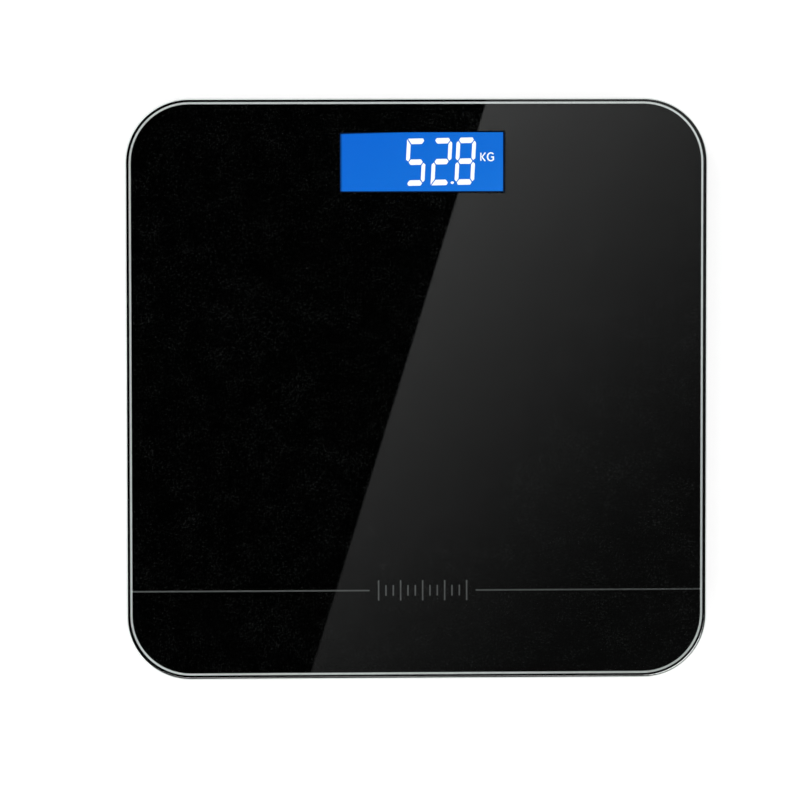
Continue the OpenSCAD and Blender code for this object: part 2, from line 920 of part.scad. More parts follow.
function front_route(sx) = concat(
    placed(front_route_at_foot, sx, -1, [sx * foot_x, -foot_y]),
    placed(front_route_at_board, sx, 1, [board_x + sx * front_lead_x, board_y - board_d / 2])
);

module cell_leads(place) {
    for (sx = [-1, 1]) {
        tube(
            soften(lifted(beside(back_route(sx), place * lead_pitch)), bends),
            lead_d, lead_sides, [0, 1, 0]
        );
        tube(
            soften(lifted(beside(front_route(sx), place * lead_pitch)), bends),
            lead_d, lead_sides, [1, 0, 0]
        );
    }
}

module red_leads() {
    color([0.75, 0.1, 0.08])
        cell_leads(-1);
}

module white_leads() {
    color([0.92, 0.92, 0.9])
        cell_leads(0);
}

module black_leads() {
    color([0.08, 0.08, 0.08])
        cell_leads(1);
}

// ---- main board ----

module main_board() {
    color([0.07, 0.35, 0.16])
        difference() {
            translate([board_x, board_y, board_z])
                plate(board_w, board_d, board_r, board_t);
            for (p = board_screws_at)
                translate([p[0], p[1], board_z - 1])
                    cylinder(d = board_screw_d + 2 * fit_gap, h = board_t + 2);
        }
}

module board_screws() {
    color([0.6, 0.6, 0.62])
        for (p = board_screws_at)
            translate([p[0], p[1], board_z])
                screw(board_screw_d, board_t + board_screw_hold, board_head_d, board_head_t);
}

module sealed_chip() {
    dome_r = (chip_d * chip_d / 4 + chip_h * chip_h) / (2 * chip_h);
    rim_r = chip_d / 2 - fit_gap;
    color([0.05, 0.05, 0.05])
        translate([chip_at[0], chip_at[1], board_z])
            rotate_extrude()
                intersection() {
                    translate([0, dome_r - chip_h])
                        circle(dome_r, $fn = 360);
                    translate([0, -chip_h])
                        square([rim_r, chip_h]);
                }
}

module wireless_module() {
    color([0.05, 0.2, 0.45])
        translate([module_x, module_y, board_top])
            block(module_w, module_d, module_t);
}

module module_shield() {
    color([0.75, 0.76, 0.78])
        translate([module_x, shield_y, board_top + module_t])
            plate(shield_w, shield_d, free_gap, shield_t);
}

module crystal_can() {
    color([0.8, 0.8, 0.8])
        translate([crystal_at[0], crystal_at[1], board_z - crystal_h])
            plate(crystal_l, crystal_w, crystal_w / 2 - snug, crystal_h);
}

// A row of small parts along X under the board
module under_board_row(at, count, pitch, size) {
    for (i = [0 : count - 1])
        translate([at[0] + i * pitch, at[1], board_z - size[2]])
            block(size[0], size[1], size[2]);
}

module capacitors() {
    color([0.55, 0.4, 0.25])
        under_board_row(capacitor_at, capacitor_count, capacitor_pitch, capacitor_size);
}

module chip_resistors() {
    color([0.1, 0.1, 0.1])
        under_board_row(resistor_at, resistor_count, resistor_pitch, resistor_size);
}

module unit_switch() {
    color([0.12, 0.12, 0.13])
        difference() {
            translate([button_x, button_y, board_z - switch_h])
                plate(switch_w, switch_w, switch_r, switch_h);
            translate([button_x, button_y, board_z - switch_h - 1])
                cylinder(d = plunger_d + 2 * fit_gap, h = 1 + plunger_in + button_travel + run_gap);
        }
}

// ---- unit button ----

module switch_plunger() {
    color([0.75, 0.75, 0.72])
        translate([button_x, button_y, button_top])
            cylinder(d = plunger_d, h = board_z - switch_h + plunger_in - button_top);
}

module unit_button() {
    color([0.6, 0.61, 0.62])
        translate([button_x, button_y, stand_off - button_proud])
            rotate_extrude() {
                edge_section(button_d / 2, button_top - stand_off + button_proud, button_edge_r, 0);
                translate([0, button_top - button_flange_t - stand_off + button_proud])
                    square([button_flange_d / 2, button_flange_t]);
            }
}

// ---- display ----

module display_holder() {
    color([0.93, 0.93, 0.92])
        translate([window_x, display_y, board_top])
            difference() {
                block(holder_w, holder_d, carrier_top - holder_low - board_top);
                translate([0, 0, holder_floor_t])
                    block(lcd_w + 2 * fit_gap, lcd_rear_d + 2 * fit_gap, carrier_top);
                translate([0, 0, front_glass_z - board_top - fit_gap])
                    block(lcd_w + 2 * fit_gap, lcd_front_d + 2 * fit_gap, carrier_top);
                for (s = [-1, 1])
                    translate([0, s * strip_y, -1])
                        block(strip_l + 2 * fit_gap, strip_w + 2 * fit_gap, carrier_top);
            }
}

module light_guide() {
    color([0.9, 0.95, 1, 0.8])
        translate([window_x + lamp_l, display_y, guide_z])
            block(guide_w, lcd_rear_d, guide_t);
}

module backlight_lamps() {
    color([1, 0.98, 0.85])
        for (i = [-1 : 1])
            translate([window_x - lcd_w / 2 + lamp_l / 2, display_y + i * lamp_pitch, guide_z])
                block(lamp_l, lamp_w, lamp_h);
}

module display_rear_glass() {
    color([0.6, 0.75, 0.9, 0.6])
        translate([window_x, display_y, rear_glass_z])
            block(lcd_w, lcd_rear_d, lcd_glass_t);
}

module display_front_glass() {
    color([0.6, 0.75, 0.9, 0.6])
        translate([window_x, display_y, front_glass_z])
            block(lcd_w, lcd_front_d, lcd_glass_t);
}

module polarisers() {
    color([0.08, 0.42, 0.86])
        for (p = [[front_glass_z + lcd_glass_t, lcd_front_d], [rear_glass_z - polariser_t, lcd_rear_d]])
            translate([window_x, display_y, p[0]])
                block(lcd_w - 2 * polariser_inset, p[1] - 2 * polariser_inset, polariser_t);
}

module contact_strips() {
    color([0.75, 0.35, 0.45])
        for (s = [-1, 1])
            translate([window_x, display_y + s * strip_y, board_top])
                block(strip_l, strip_w, front_glass_z - board_top);
}

module window_gasket() {
    color([0.1, 0.1, 0.1])
        difference() {
            translate([window_x, display_y, carrier_top])
                block(gasket_w, gasket_d, tape_t);
            translate([window_x, display_y, carrier_top - 1])
                block(window_w + 2 * gasket_rim, window_d + 2 * gasket_rim, tape_t + 2);
        }
}

// ---- batteries ----

// Places its children at cell i with +X towards the cell's nub
module at_battery(i) {
    translate([0, bay_y + (1 - i) * battery_pitch, battery_z])
        rotate([0, 0, i == 1 ? 180 : 0])
            translate([-bay_l / 2 + contact_t + spring_l, 0, 0])
                children();
}

module battery(i) {
    can_l = battery_l - nub_l;
    color([0.15, 0.17, 0.2])
        at_battery(i)
            rotate([0, 90, 0])
                rotate_extrude() {
                    edge_section(battery_d / 2, can_l, battery_edge_r, battery_edge_r);
                    translate([0, can_l / 2])
                        square([nub_d / 2, can_l / 2 + nub_l]);
                }
}

function spring_points() = [
    for (k = [0 : spring_turns * spring_steps])
        let (
            f = k / (spring_turns * spring_steps),
            r = spring_low_r + f * (spring_high_r - spring_low_r),
            a = 360 * k / spring_steps,
            x = spring_wire_d / 2 + snug / 2 + f * (spring_l - spring_wire_d - snug)
        )
            [x - spring_l, r * cos(a), r * sin(a)]
];

module battery_springs() {
    color([0.75, 0.76, 0.78])
        for (i = [0 : 2])
            at_battery(i)
                tube(spring_points(), spring_wire_d, lead_sides, [1, 0, 0]);
}

// Plates on both end walls; two of them reach through the wall to take a lead
module battery_contacts() {
    half = contact_w / 2;
    color([0.8, 0.78, 0.7])
        for (s = [-1, 1])
            translate([s * (bay_l - contact_t) / 2, bay_y, battery_z - contact_h / 2]) {
                translate([0, -s * battery_pitch, 0])
                    block(contact_t, contact_w, contact_h);
                translate([0, s * battery_pitch / 2, 0])
                    block(contact_t, contact_w + battery_pitch, contact_h);
                translate([
                    s * tab_l / 2,
                    -s * battery_pitch,
                    lead_z - lead_d / 2 - snug / 2 - contact_t - battery_z + contact_h / 2
                ])
                    block(tab_l + contact_t, tab_w, contact_t);
            }
}

function contact_route(s) = concat(
    placed(battery_route_at_contact, s, 1,
        [s * (bay_l / 2 + bay_wall + 1), bay_y - s * battery_pitch]),
    placed(battery_route_at_board, s, 1, [s * battery_lead_x, board_y - board_d / 2])
);

module battery_lead_positive() {
    color([0.75, 0.1, 0.08])
        tube(soften(lifted(contact_route(1)), bends), lead_d, lead_sides, [0, 1, 0]);
}

module battery_lead_negative() {
    color([0.08, 0.08, 0.08])
        tube(soften(lifted(contact_route(-1)), bends), lead_d, lead_sides, [0, 1, 0]);
}

// ---- battery door ----

// The latch's inner leaf stands this far back
function latch_y() = door_back - latch_leaf_t - run_gap - latch_nib;

module battery_door() {
    arm_h = shelf_z + shelf_t + run_gap + hinge_hook_t - stand_off - door_t;
    color([0.88, 0.88, 0.87])
        union() {
            difference() {
                translate([0, bay_y, stand_off])
                    plate(door_w, door_d, door_r, door_t);
                translate([0, door_back, stand_off - finger_l + finger_depth])
                    rotate([0, 90, 0])
                        cylinder(r = finger_l, h = finger_w, center = true);
            }
            for (s = [-1, 1])
                translate([s * tab_x - hinge_tab_w / 2, door_front, stand_off + door_t]) {
                    translate([0, hinge_arm_in, -snug])
                        cube([hinge_tab_w, hinge_arm_t, arm_h + snug]);
                    translate([0, -hinge_hook_out, arm_h - hinge_hook_t])
                        cube([hinge_tab_w, hinge_hook_out + hinge_arm_in + snug, hinge_hook_t]);
                }
            for (i = [0 : grip_count - 1])
                translate([0, door_back - grip_in - grip_pitch * i, stand_off - grip_h])
                    block(grip_l, grip_w, grip_h + snug);
        }
}

// A sprung leaf on the door whose nib snaps over the shelf
module door_latch() {
    color([0.88, 0.88, 0.87])
        translate([-latch_w / 2, latch_y(), stand_off + door_t]) {
            cube([latch_w, latch_leaf_t, latch_h]);
            translate([0, 0, shelf_z + shelf_t + snug - stand_off - door_t])
                cube([latch_w, latch_leaf_t + run_gap + latch_nib, latch_nib]);
        }
}

glass_platform();
silver_print();
black_print();
bonding_tape();
carrier_frame();
bottom_cover();
cover_screws();
foot_cup(-1, -1);  // foot_front_left
foot_cup(1, -1);  // foot_front_right
foot_cup(-1, 1);  // foot_back_left
foot_cup(1, 1);  // foot_back_right
foot_pad(-1, -1);  // foot_pad_front_left
foot_pad(1, -1);  // foot_pad_front_right
foot_pad(-1, 1);  // foot_pad_back_left
foot_pad(1, 1);  // foot_pad_back_right
load_cell(-1, -1);  // load_cell_front_left
load_cell(1, -1);  // load_cell_front_right
load_cell(-1, 1);  // load_cell_back_left
load_cell(1, 1);  // load_cell_back_right
gauge_seals();
red_leads();
white_leads();
black_leads();
main_board();
board_screws();
sealed_chip();
wireless_module();
module_shield();
crystal_can();
capacitors();
chip_resistors();
unit_switch();
switch_plunger();
unit_button();
display_holder();
light_guide();
backlight_lamps();
display_rear_glass();
display_front_glass();
polarisers();
contact_strips();
window_gasket();
battery(0);  // battery_1
battery(1);  // battery_2
battery(2);  // battery_3
battery_springs();
battery_contacts();
battery_lead_positive();
battery_lead_negative();
battery_door();
door_latch();
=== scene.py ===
"""Looks for a digital bathroom scale: glass platform, lit display, housing, feet and studio."""
import math

import bmesh
import bpy
from mathutils import Matrix, Vector


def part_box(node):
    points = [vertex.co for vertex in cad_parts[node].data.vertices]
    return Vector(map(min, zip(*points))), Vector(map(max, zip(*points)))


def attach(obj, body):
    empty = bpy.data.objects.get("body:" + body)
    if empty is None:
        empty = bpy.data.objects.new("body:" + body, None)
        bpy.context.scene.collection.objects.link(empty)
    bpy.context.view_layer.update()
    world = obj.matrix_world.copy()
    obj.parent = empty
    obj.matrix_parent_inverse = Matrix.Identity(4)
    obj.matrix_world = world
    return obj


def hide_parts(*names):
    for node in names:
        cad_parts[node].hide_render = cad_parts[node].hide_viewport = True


bl_info = {
    "name": "Digital bathroom scale",
    "version": (1, 0, 0),
    "blender": (4, 5, 0),
    "location": "View3D > Sidebar > Scale",
    "description": "Dresses the bathroom scale with its glass, display, finishes and studio",
    "category": "Object",
}

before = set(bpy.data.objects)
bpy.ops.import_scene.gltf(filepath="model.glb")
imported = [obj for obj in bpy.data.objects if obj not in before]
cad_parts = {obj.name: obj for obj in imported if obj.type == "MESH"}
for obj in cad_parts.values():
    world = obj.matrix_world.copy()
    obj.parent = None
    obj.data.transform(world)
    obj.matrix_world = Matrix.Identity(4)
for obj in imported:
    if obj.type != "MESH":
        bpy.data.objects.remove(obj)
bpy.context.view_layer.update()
glass_low, glass_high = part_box("glass_platform")
film_low, film_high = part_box("polarisers")
gasket_low, gasket_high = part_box("window_gasket")

MM = 0.001
PLATFORM = "platform"
GLASS_IOR = 1.52

# edges of the display window, which lies inside the outer edge of its gasket
GASKET_RIM = 4.05 * MM
WINDOW_LEFT, WINDOW_RIGHT = gasket_low.x + GASKET_RIM, gasket_high.x - GASKET_RIM
WINDOW_FRONT, WINDOW_BACK = gasket_low.y + GASKET_RIM, gasket_high.y - GASKET_RIM

# the reading: the lit segments of each sign, and what the digits share
SEGMENTS = {
    "0": "abcdef", "1": "bc", "2": "abged", "3": "abgcd", "4": "fgbc",
    "5": "afgcd", "6": "afgedc", "7": "abc", "8": "abcdefg", "9": "abcdfg",
}
LAST_DIGIT_X = WINDOW_LEFT + 58.68 * MM     # left side of the last digit
DIGITS_Y = WINDOW_BACK - 27.52 * MM         # foot of the digits
RISE_MIDDLE = WINDOW_LEFT + 51.5 * MM       # where the climbing row is at its plain height
SEGMENT_GAP = 0.27 * MM                     # drawn in all round a segment
SEGMENT_ROUND = 0.22 * MM
DOT_BACK, DOT_UP = 0.88 * MM, 1.45 * MM     # middle of the dot, from the foot of the digit after it
DOT_RADII = (0.85 * MM, 0.66 * MM)
LIT_THICK = 0.03 * MM                       # thickness of the digits and the unit

# the unit mark: the middle of its left edge, and its strokes in millimetres from there
UNIT_X, UNIT_Y = WINDOW_LEFT + 72.2 * MM, WINDOW_BACK - 12.65 * MM
UNIT_STROKES = (  # start, end and width of each straight stroke
    ((0.45, -2.07), (0.45, 2.07), 0.58),
    ((0.98, -0.15), (2.82, 2.15), 0.58),
    ((1.1, -0.25), (2.67, -2.2), 0.65),
    ((5.7, -0.1), (7.16, -0.1), 0.66),
    ((6.86, 0.15), (6.86, -1.75), 0.75),
)
ARC_MIDDLE = 5.6                            # middle of the open round stroke along x
ARC_OUTER = (2.1, 2.33)                     # half sizes of its outer edge along x and y
ARC_INNER = (1.33, 1.7)                     # and of its inner edge
ARC_START, ARC_TURN = 42, 273               # where it starts and how far it turns, in degrees
ARC_STEPS = 30

CELL_WAYS = {1: 1, 2: -1, 3: 1}             # which way along x the tip of each battery points

ROOM_LEVEL = 0.75                           # strength of the backdrop as it lights the object
SENSOR_WIDE = 36                            # width of the camera's sensor in millimetres
LAMP_SIZE = 1.1
LAMPS = {                                   # place, and share of the lamp power
    "key": ((-1.0, 1.1, 1.4), 1.3),
    "right": ((1.3, -0.2, 1.3), 0.8),
    "front": ((-0.7, -1.2, 1.2), 0.9),
    "below": ((0.2, -0.5, -1.5), 0.45),
}


# ---- settings ----

class ScaleGlass(bpy.types.PropertyGroup):
    corner_radius: bpy.props.FloatProperty(
        name="Corner radius", description="Radius of the glass corners seen from above",
        default=33 * MM, min=0.005, max=0.06, unit="LENGTH")
    top_edge: bpy.props.FloatProperty(
        name="Top edge", description="Radius ground on the upper edge of the glass",
        default=1.2 * MM, min=0.0002, max=0.003, unit="LENGTH")
    low_edge: bpy.props.FloatProperty(
        name="Low edge", description="Radius ground on the lower edge of the glass",
        default=0.8 * MM, min=0.0002, max=0.003, unit="LENGTH")
    air_gap: bpy.props.FloatProperty(
        name="Air gap", description="Gap between the glass and the print under it",
        default=0.02 * MM, min=0, max=0.001, unit="LENGTH")
    tint: bpy.props.FloatVectorProperty(
        name="Tint", description="Colour of the glass", subtype="COLOR",
        default=(0.955, 0.985, 0.972), min=0, max=1)


class ScaleDisplay(bpy.types.PropertyGroup):
    reading: bpy.props.StringProperty(
        name="Reading", description="Number that the display shows", default="52.8")
    digit_height: bpy.props.FloatProperty(
        name="Digit height", description="Height of one digit",
        default=24.8 * MM, min=0.005, max=0.03, unit="LENGTH")
    digit_width: bpy.props.FloatProperty(
        name="Digit width", description="Width of one digit",
        default=10.6 * MM, min=0.003, max=0.02, unit="LENGTH")
    digit_pitch: bpy.props.FloatProperty(
        name="Digit pitch", description="Distance from one digit to the next",
        default=12.79 * MM, min=0.004, max=0.03, unit="LENGTH")
    slant: bpy.props.FloatProperty(
        name="Slant", description="Lean of the digits to the right",
        default=math.radians(3), min=0, max=0.3, subtype="ANGLE")
    rise: bpy.props.FloatProperty(
        name="Rise", description="Climb of the row of digits to the right",
        default=math.radians(1.05), min=0, max=0.1, subtype="ANGLE")
    before_dot: bpy.props.FloatProperty(
        name="Shift before the dot", description="How much closer the digit before the dot stands to it",
        default=0.53 * MM, min=0, max=0.001, unit="LENGTH")
    face: bpy.props.FloatVectorProperty(
        name="Backlight", description="Colour of the lit display in its middle", subtype="COLOR",
        default=(0.004, 0.16, 0.74), min=0, max=1)
    face_dark: bpy.props.FloatVectorProperty(
        name="Backlight far end", description="Colour of the lit display at its dimmer corner",
        subtype="COLOR", default=(0.002, 0.144, 0.735), min=0, max=1)
    face_light: bpy.props.FloatVectorProperty(
        name="Backlight near end", description="Colour of the lit display at its brighter corner",
        subtype="COLOR", default=(0.008, 0.19, 0.79), min=0, max=1)


class ScaleFinish(bpy.types.PropertyGroup):
    housing: bpy.props.FloatVectorProperty(
        name="Housing", description="Colour of the moulded housing", subtype="COLOR",
        default=(0.72, 0.72, 0.705), min=0, max=1)
    silver: bpy.props.FloatVectorProperty(
        name="Silver print", description="Colour of the border line", subtype="COLOR",
        default=(0.98, 0.98, 0.99), min=0, max=1)
    line: bpy.props.FloatVectorProperty(
        name="Front line", description="Colour of the front line and its ticks", subtype="COLOR",
        default=(0.11, 0.11, 0.112), min=0, max=1)
    ink: bpy.props.FloatVectorProperty(
        name="Black print", description="Colour of the print under the glass", subtype="COLOR",
        default=(0.00045, 0.00045, 0.00045), min=0, max=1)


class ScaleStudio(bpy.types.PropertyGroup):
    camera_at: bpy.props.FloatVectorProperty(
        name="Camera", description="Where the camera stands", subtype="TRANSLATION",
        default=(-0.1354, 0.205, 3.0))
    camera_turn: bpy.props.FloatVectorProperty(
        name="Camera turn", description="How the camera is turned", subtype="EULER",
        default=tuple(math.radians(a) for a in (-4.039, -2.44, -0.049)))
    lens: bpy.props.FloatProperty(
        name="Lens", description="Focal length of the camera in millimetres",
        default=260.57, min=20, max=400, unit="CAMERA")
    lamp_power: bpy.props.FloatProperty(
        name="Lamp power", description="Power of a soft lamp whose share is 1", default=12, min=0,
        unit="POWER")


# ---- nodes ----

def feed(tree, value, spot):
    """Joins an output to an input, or sets the input to a plain value."""
    if isinstance(value, bpy.types.NodeSocket):
        tree.links.new(value, spot)
    else:
        spot.default_value = value


def node(tree, kind, inputs=None, **settings):
    """A new node with its settings, whose inputs get outputs of other nodes or plain values."""
    made = tree.nodes.new(kind)
    for key, value in settings.items():
        setattr(made, key, value)
    for spot, value in (inputs or {}).items():
        feed(tree, value, made.inputs[spot])
    return made


def maths(tree, operation, *values):
    """The result of one operation on outputs and numbers."""
    return node(tree, "ShaderNodeMath", dict(enumerate(values)), operation=operation).outputs[0]


def product(tree, first, *others):
    """All the values multiplied together."""
    for other in others:
        first = maths(tree, "MULTIPLY", first, other)
    return first


def ramp(tree, value, start, end, first=0.0, last=1.0, smooth=False):
    """Goes from first to last while the value goes from start to end."""
    shape = "SMOOTHSTEP" if smooth else "LINEAR"
    return node(tree, "ShaderNodeMapRange", {0: value, 1: start, 2: end, 3: first, 4: last},
                interpolation_type=shape).outputs[0]


def spread(tree, value, first, last):
    """Goes from first to last while the value goes from 0 to 1."""
    return ramp(tree, value, 0.0, 1.0, first, last)


def noise(tree, where, scale, detail=2.0, roughness=0.5):
    """Soft noise from 0 to 1."""
    return node(tree, "ShaderNodeTexNoise",
                {"Vector": where, "Scale": scale, "Detail": detail, "Roughness": roughness}).outputs[0]


def blend_colours(tree, factor, first, second):
    """Goes from the first colour to the second while the factor goes from 0 to 1."""
    made = node(tree, "ShaderNodeMix", data_type="RGBA")
    for name, value in (("Factor", factor), ("A", first), ("B", second)):
        spot = next(s for s in made.inputs if s.name == name and s.enabled)
        feed(tree, (*value, 1) if isinstance(value, tuple) else value, spot)
    return next(s for s in made.outputs if s.enabled)


def object_place(tree):
    """The place of a point in Object coordinates."""
    return node(tree, "ShaderNodeTexCoord").outputs["Object"]


def axes(tree, where):
    """The x, y and z of a place."""
    return node(tree, "ShaderNodeSeparateXYZ", {"Vector": where}).outputs


# ---- shared effects ----

def effect_group(name, numbers):
    """A node group that turns a place, two colours and some numbers into colour, gloss and relief."""
    tree = bpy.data.node_groups.new(name, "ShaderNodeTree")
    tree.interface.new_socket(name="Position", in_out="INPUT", socket_type="NodeSocketVector")
    for colour in ("Base", "Shade"):
        tree.interface.new_socket(name=colour, in_out="INPUT", socket_type="NodeSocketColor")
    for key, value in numbers.items():
        made = tree.interface.new_socket(name=key, in_out="INPUT", socket_type="NodeSocketFloat")
        made.default_value = value
    tree.interface.new_socket(name="Color", in_out="OUTPUT", socket_type="NodeSocketColor")
    for result in ("Roughness", "Height"):
        tree.interface.new_socket(name=result, in_out="OUTPUT", socket_type="NodeSocketFloat")
    return tree, node(tree, "NodeGroupInput").outputs, node(tree, "NodeGroupOutput").inputs


def moulded_group():
    """Colour that drifts in patches, a fine grain, and a gloss that follows both."""
    patch_share, grain_share, pit_share = 0.75, 0.25, 0.5
    tree, given, result = effect_group(
        "Moulded surface", {"Patch": 30.0, "Grain": 1500.0, "Smooth": 0.3, "Rough": 0.5})
    patches = noise(tree, given["Position"], given["Patch"], detail=3.0, roughness=0.55)
    grain = noise(tree, given["Position"], given["Grain"])
    pits = node(tree, "ShaderNodeTexVoronoi", {"Vector": given["Position"], "Scale": given["Grain"]})
    drift = maths(tree, "MULTIPLY_ADD", patches, patch_share, product(tree, grain, grain_share))
    colour = blend_colours(tree, ramp(tree, drift, 0.32, 0.68), given["Base"], given["Shade"])
    feed(tree, colour, result["Color"])
    feed(tree, ramp(tree, drift, 0.3, 0.7, given["Smooth"], given["Rough"]), result["Roughness"])
    relief = maths(tree, "SUBTRACT", grain, product(tree, pits.outputs["Distance"], pit_share))
    feed(tree, relief, result["Height"])
    return tree


def drawn_metal_group():
    """Long fine marks along x, with a duller bloom in patches."""
    squeeze, bloom_scale = (1.0, 14.0, 3.0), 60.0
    tree, given, result = effect_group("Drawn metal", {"Marks": 400.0, "Smooth": 0.2, "Rough": 0.4})
    along = node(tree, "ShaderNodeMapping", {"Vector": given["Position"], "Scale": squeeze})
    marks = noise(tree, along.outputs[0], given["Marks"], detail=4.0)
    bloom = noise(tree, given["Position"], bloom_scale)
    wear = product(tree, maths(tree, "ADD", marks, bloom), 0.5)
    colour = blend_colours(tree, ramp(tree, wear, 0.35, 0.65), given["Base"], given["Shade"])
    feed(tree, colour, result["Color"])
    feed(tree, ramp(tree, wear, 0.35, 0.65, given["Smooth"], given["Rough"]), result["Roughness"])
    feed(tree, marks, result["Height"])
    return tree


# ---- materials ----

def empty_material(name):
    made = bpy.data.materials.new(name)
    made.use_nodes = True
    made.node_tree.nodes.clear()
    return made, made.node_tree


def shaded_material(name):
    """A material with a Principled shader that feeds its surface, and the place in it."""
    made, tree = empty_material(name)
    shader = node(tree, "ShaderNodeBsdfPrincipled")
    node(tree, "ShaderNodeOutputMaterial", {"Surface": shader.outputs[0]})
    return made, tree, shader, object_place(tree)


def relief_into(tree, shader, height, strength, depth):
    """Bumps the surface by a height."""
    made = node(tree, "ShaderNodeBump", {"Height": height, "Strength": strength, "Distance": depth})
    feed(tree, made.outputs[0], shader.inputs["Normal"])


def shades(colour, share):
    """A colour times a share, which is under 1 for a darker one."""
    return tuple(c * share for c in colour)


def dressed(name, group, colour, shade, numbers, bump, constants):
    """A material whose colour, gloss and relief come from a group, with constants on its shader."""
    made, tree, shader, where = shaded_material(name)
    effect = node(tree, "ShaderNodeGroup", node_tree=group)
    values = {"Position": where, "Base": (*colour, 1), "Shade": (*shades(colour, shade), 1), **numbers}
    for key, value in values.items():
        feed(tree, value, effect.inputs[key])
    feed(tree, effect.outputs["Color"], shader.inputs["Base Color"])
    feed(tree, effect.outputs["Roughness"], shader.inputs["Roughness"])
    relief_into(tree, shader, effect.outputs["Height"], *bump)
    for key, value in constants.items():
        feed(tree, value, shader.inputs[key])
    return made


def moulded(name, colour, shade=0.86, patch=30.0, grain=1500.0, gloss=(0.35, 0.5), bump=(0.2, 0.0001),
            constants=None):
    """Plastic, rubber or lacquer: patch and grain are noise scales, gloss is the least and most roughness."""
    group = bpy.data.node_groups.get("Moulded surface") or moulded_group()
    numbers = {"Patch": patch, "Grain": grain, "Smooth": gloss[0], "Rough": gloss[1]}
    return dressed(name, group, colour, shade, numbers, bump, constants or {})


def metal(name, colour, shade=0.75, marks=400.0, gloss=(0.18, 0.36), bump=(0.12, 0.00005)):
    """Drawn or plated metal: marks is a noise scale, gloss is the least and most roughness."""
    group = bpy.data.node_groups.get("Drawn metal") or drawn_metal_group()
    numbers = {"Marks": marks, "Smooth": gloss[0], "Rough": gloss[1]}
    return dressed(name, group, colour, shade, numbers, bump, {"Metallic": 1.0})


def put_on(material, *names):
    """Gives CAD nodes a material and leaves their shapes."""
    for name in names:
        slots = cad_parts[name].data.materials
        slots.clear()
        slots.append(material)


# ---- making pieces ----

def new_object(name, mesh, material):
    data = bpy.data.meshes.new(name)
    mesh.to_mesh(data)
    mesh.free()
    made = bpy.data.objects.new(name, data)
    bpy.context.scene.collection.objects.link(made)
    data.materials.append(material)
    return made


def piece(name, mesh, material):
    """A visible piece of the platform."""
    mesh.normal_update()
    made = new_object(name, mesh, material)
    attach(made, PLATFORM)
    return made


def glass_mesh(settings):
    """A sheet with round corners and ground edges, whose flat faces stay flat."""
    corner_steps, top_steps, low_steps = 28, 9, 6
    same_level = 1e-6
    flat_from = 0.999                           # least upright part of a flat face's normal
    ground_below = math.cos(math.radians(32))   # and the part below which a face is ground
    low = Vector((glass_low.x, glass_low.y, glass_low.z + settings.air_gap))
    size = glass_high - low
    place = Matrix.Translation((low + glass_high) / 2) @ Matrix.Diagonal((*size, 1))
    sheet = bmesh.new()
    bmesh.ops.create_cube(sheet, size=1, matrix=place)
    upright = [e for e in sheet.edges if abs(e.verts[0].co.z - e.verts[1].co.z) > size.z / 2]
    bmesh.ops.bevel(sheet, geom=upright, offset=settings.corner_radius, offset_type="OFFSET",
                    segments=corner_steps, profile=0.5, affect="EDGES", material=-1)
    for level, radius, steps in ((glass_high.z, settings.top_edge, top_steps),
                                 (low.z, settings.low_edge, low_steps)):
        rim = [e for e in sheet.edges if all(abs(v.co.z - level) < same_level for v in e.verts)]
        bmesh.ops.bevel(sheet, geom=rim, offset=radius, offset_type="OFFSET",
                        segments=steps, profile=0.5, affect="EDGES", material=-1)
    sheet.normal_update()
    for face in sheet.faces:
        face.smooth = abs(face.normal.z) < flat_from
        face.material_index = int(abs(face.normal.z) < ground_below)
    return sheet


def segment_outline(letter, lit, w, h):
    """Corners of one segment in a digit that is w wide and h high, with the lit segments given."""
    stroke, bar = 0.234 * w, 0.136 * h          # widths of the upright and the level segments
    mid, half = h / 2, 0.0675 * h               # height and half width of the middle segment
    tip, notch = 0.13 * w, 0.05 * h             # its points, and the notches that clear them
    cut_x, cut_y = 0.19 * w, 0.115 * h          # how far a corner of the digit is cut off
    joint_x, joint_y = 0.11 * w, 0.94 * h       # where two segments meet at a cut corner
    sharp_x, sharp_y = 0.02 * w, 0.02 * h       # the cut where only one of the left uprights is lit
    top = [(cut_x, h), (w - cut_x, h), (w - joint_x, joint_y),
           (w - stroke, h - bar), (stroke, h - bar), (joint_x, joint_y)]
    side = [(joint_x, joint_y), (stroke, h - bar), (stroke, mid + half),
            (tip, mid), (0, mid + notch), (0, h - cut_y)]
    middle = [(stroke, mid + half), (w - stroke, mid + half), (w - tip, mid),
              (w - stroke, mid - half), (stroke, mid - half), (tip, mid)]
    upper_alone = "f" in lit and "e" not in lit and letter in "af"
    lower_alone = "e" in lit and "f" not in lit and letter in "de"
    if upper_alone or lower_alone:
        top = [(sharp_x, h), *top[1:5]]
        side = [(sharp_x, h), *side[1:5], (0, h - sharp_y)]
    shape = {"a": top, "d": top, "g": middle}.get(letter, side)
    if letter in "bc":
        shape = [(w - x, y) for x, y in shape]
    if letter in "dec":
        shape = [(x, h - y) for x, y in shape]
    return shape


def face_up(face):
    """Turns a flat face over if it looks down."""
    face.normal_update()
    if face.normal.z < 0:
        face.normal_flip()


def flat_shape(mesh, corners, shrink=0.0, round_by=0.0):
    """A flat face on the display from its corners, drawn in by shrink and with round corners."""
    face = mesh.faces.new([mesh.verts.new((x, y, film_high.z)) for x, y in corners])
    face_up(face)
    if shrink:
        rim = bmesh.ops.inset_region(mesh, faces=[face], thickness=shrink, use_even_offset=True,
                                     use_boundary=True)["faces"]
        bmesh.ops.delete(mesh, geom=rim, context="FACES")
    if round_by:
        bmesh.ops.bevel(mesh, geom=list(face.verts), offset=round_by, offset_type="OFFSET",
                        segments=3, profile=0.5, affect="VERTICES", material=-1)


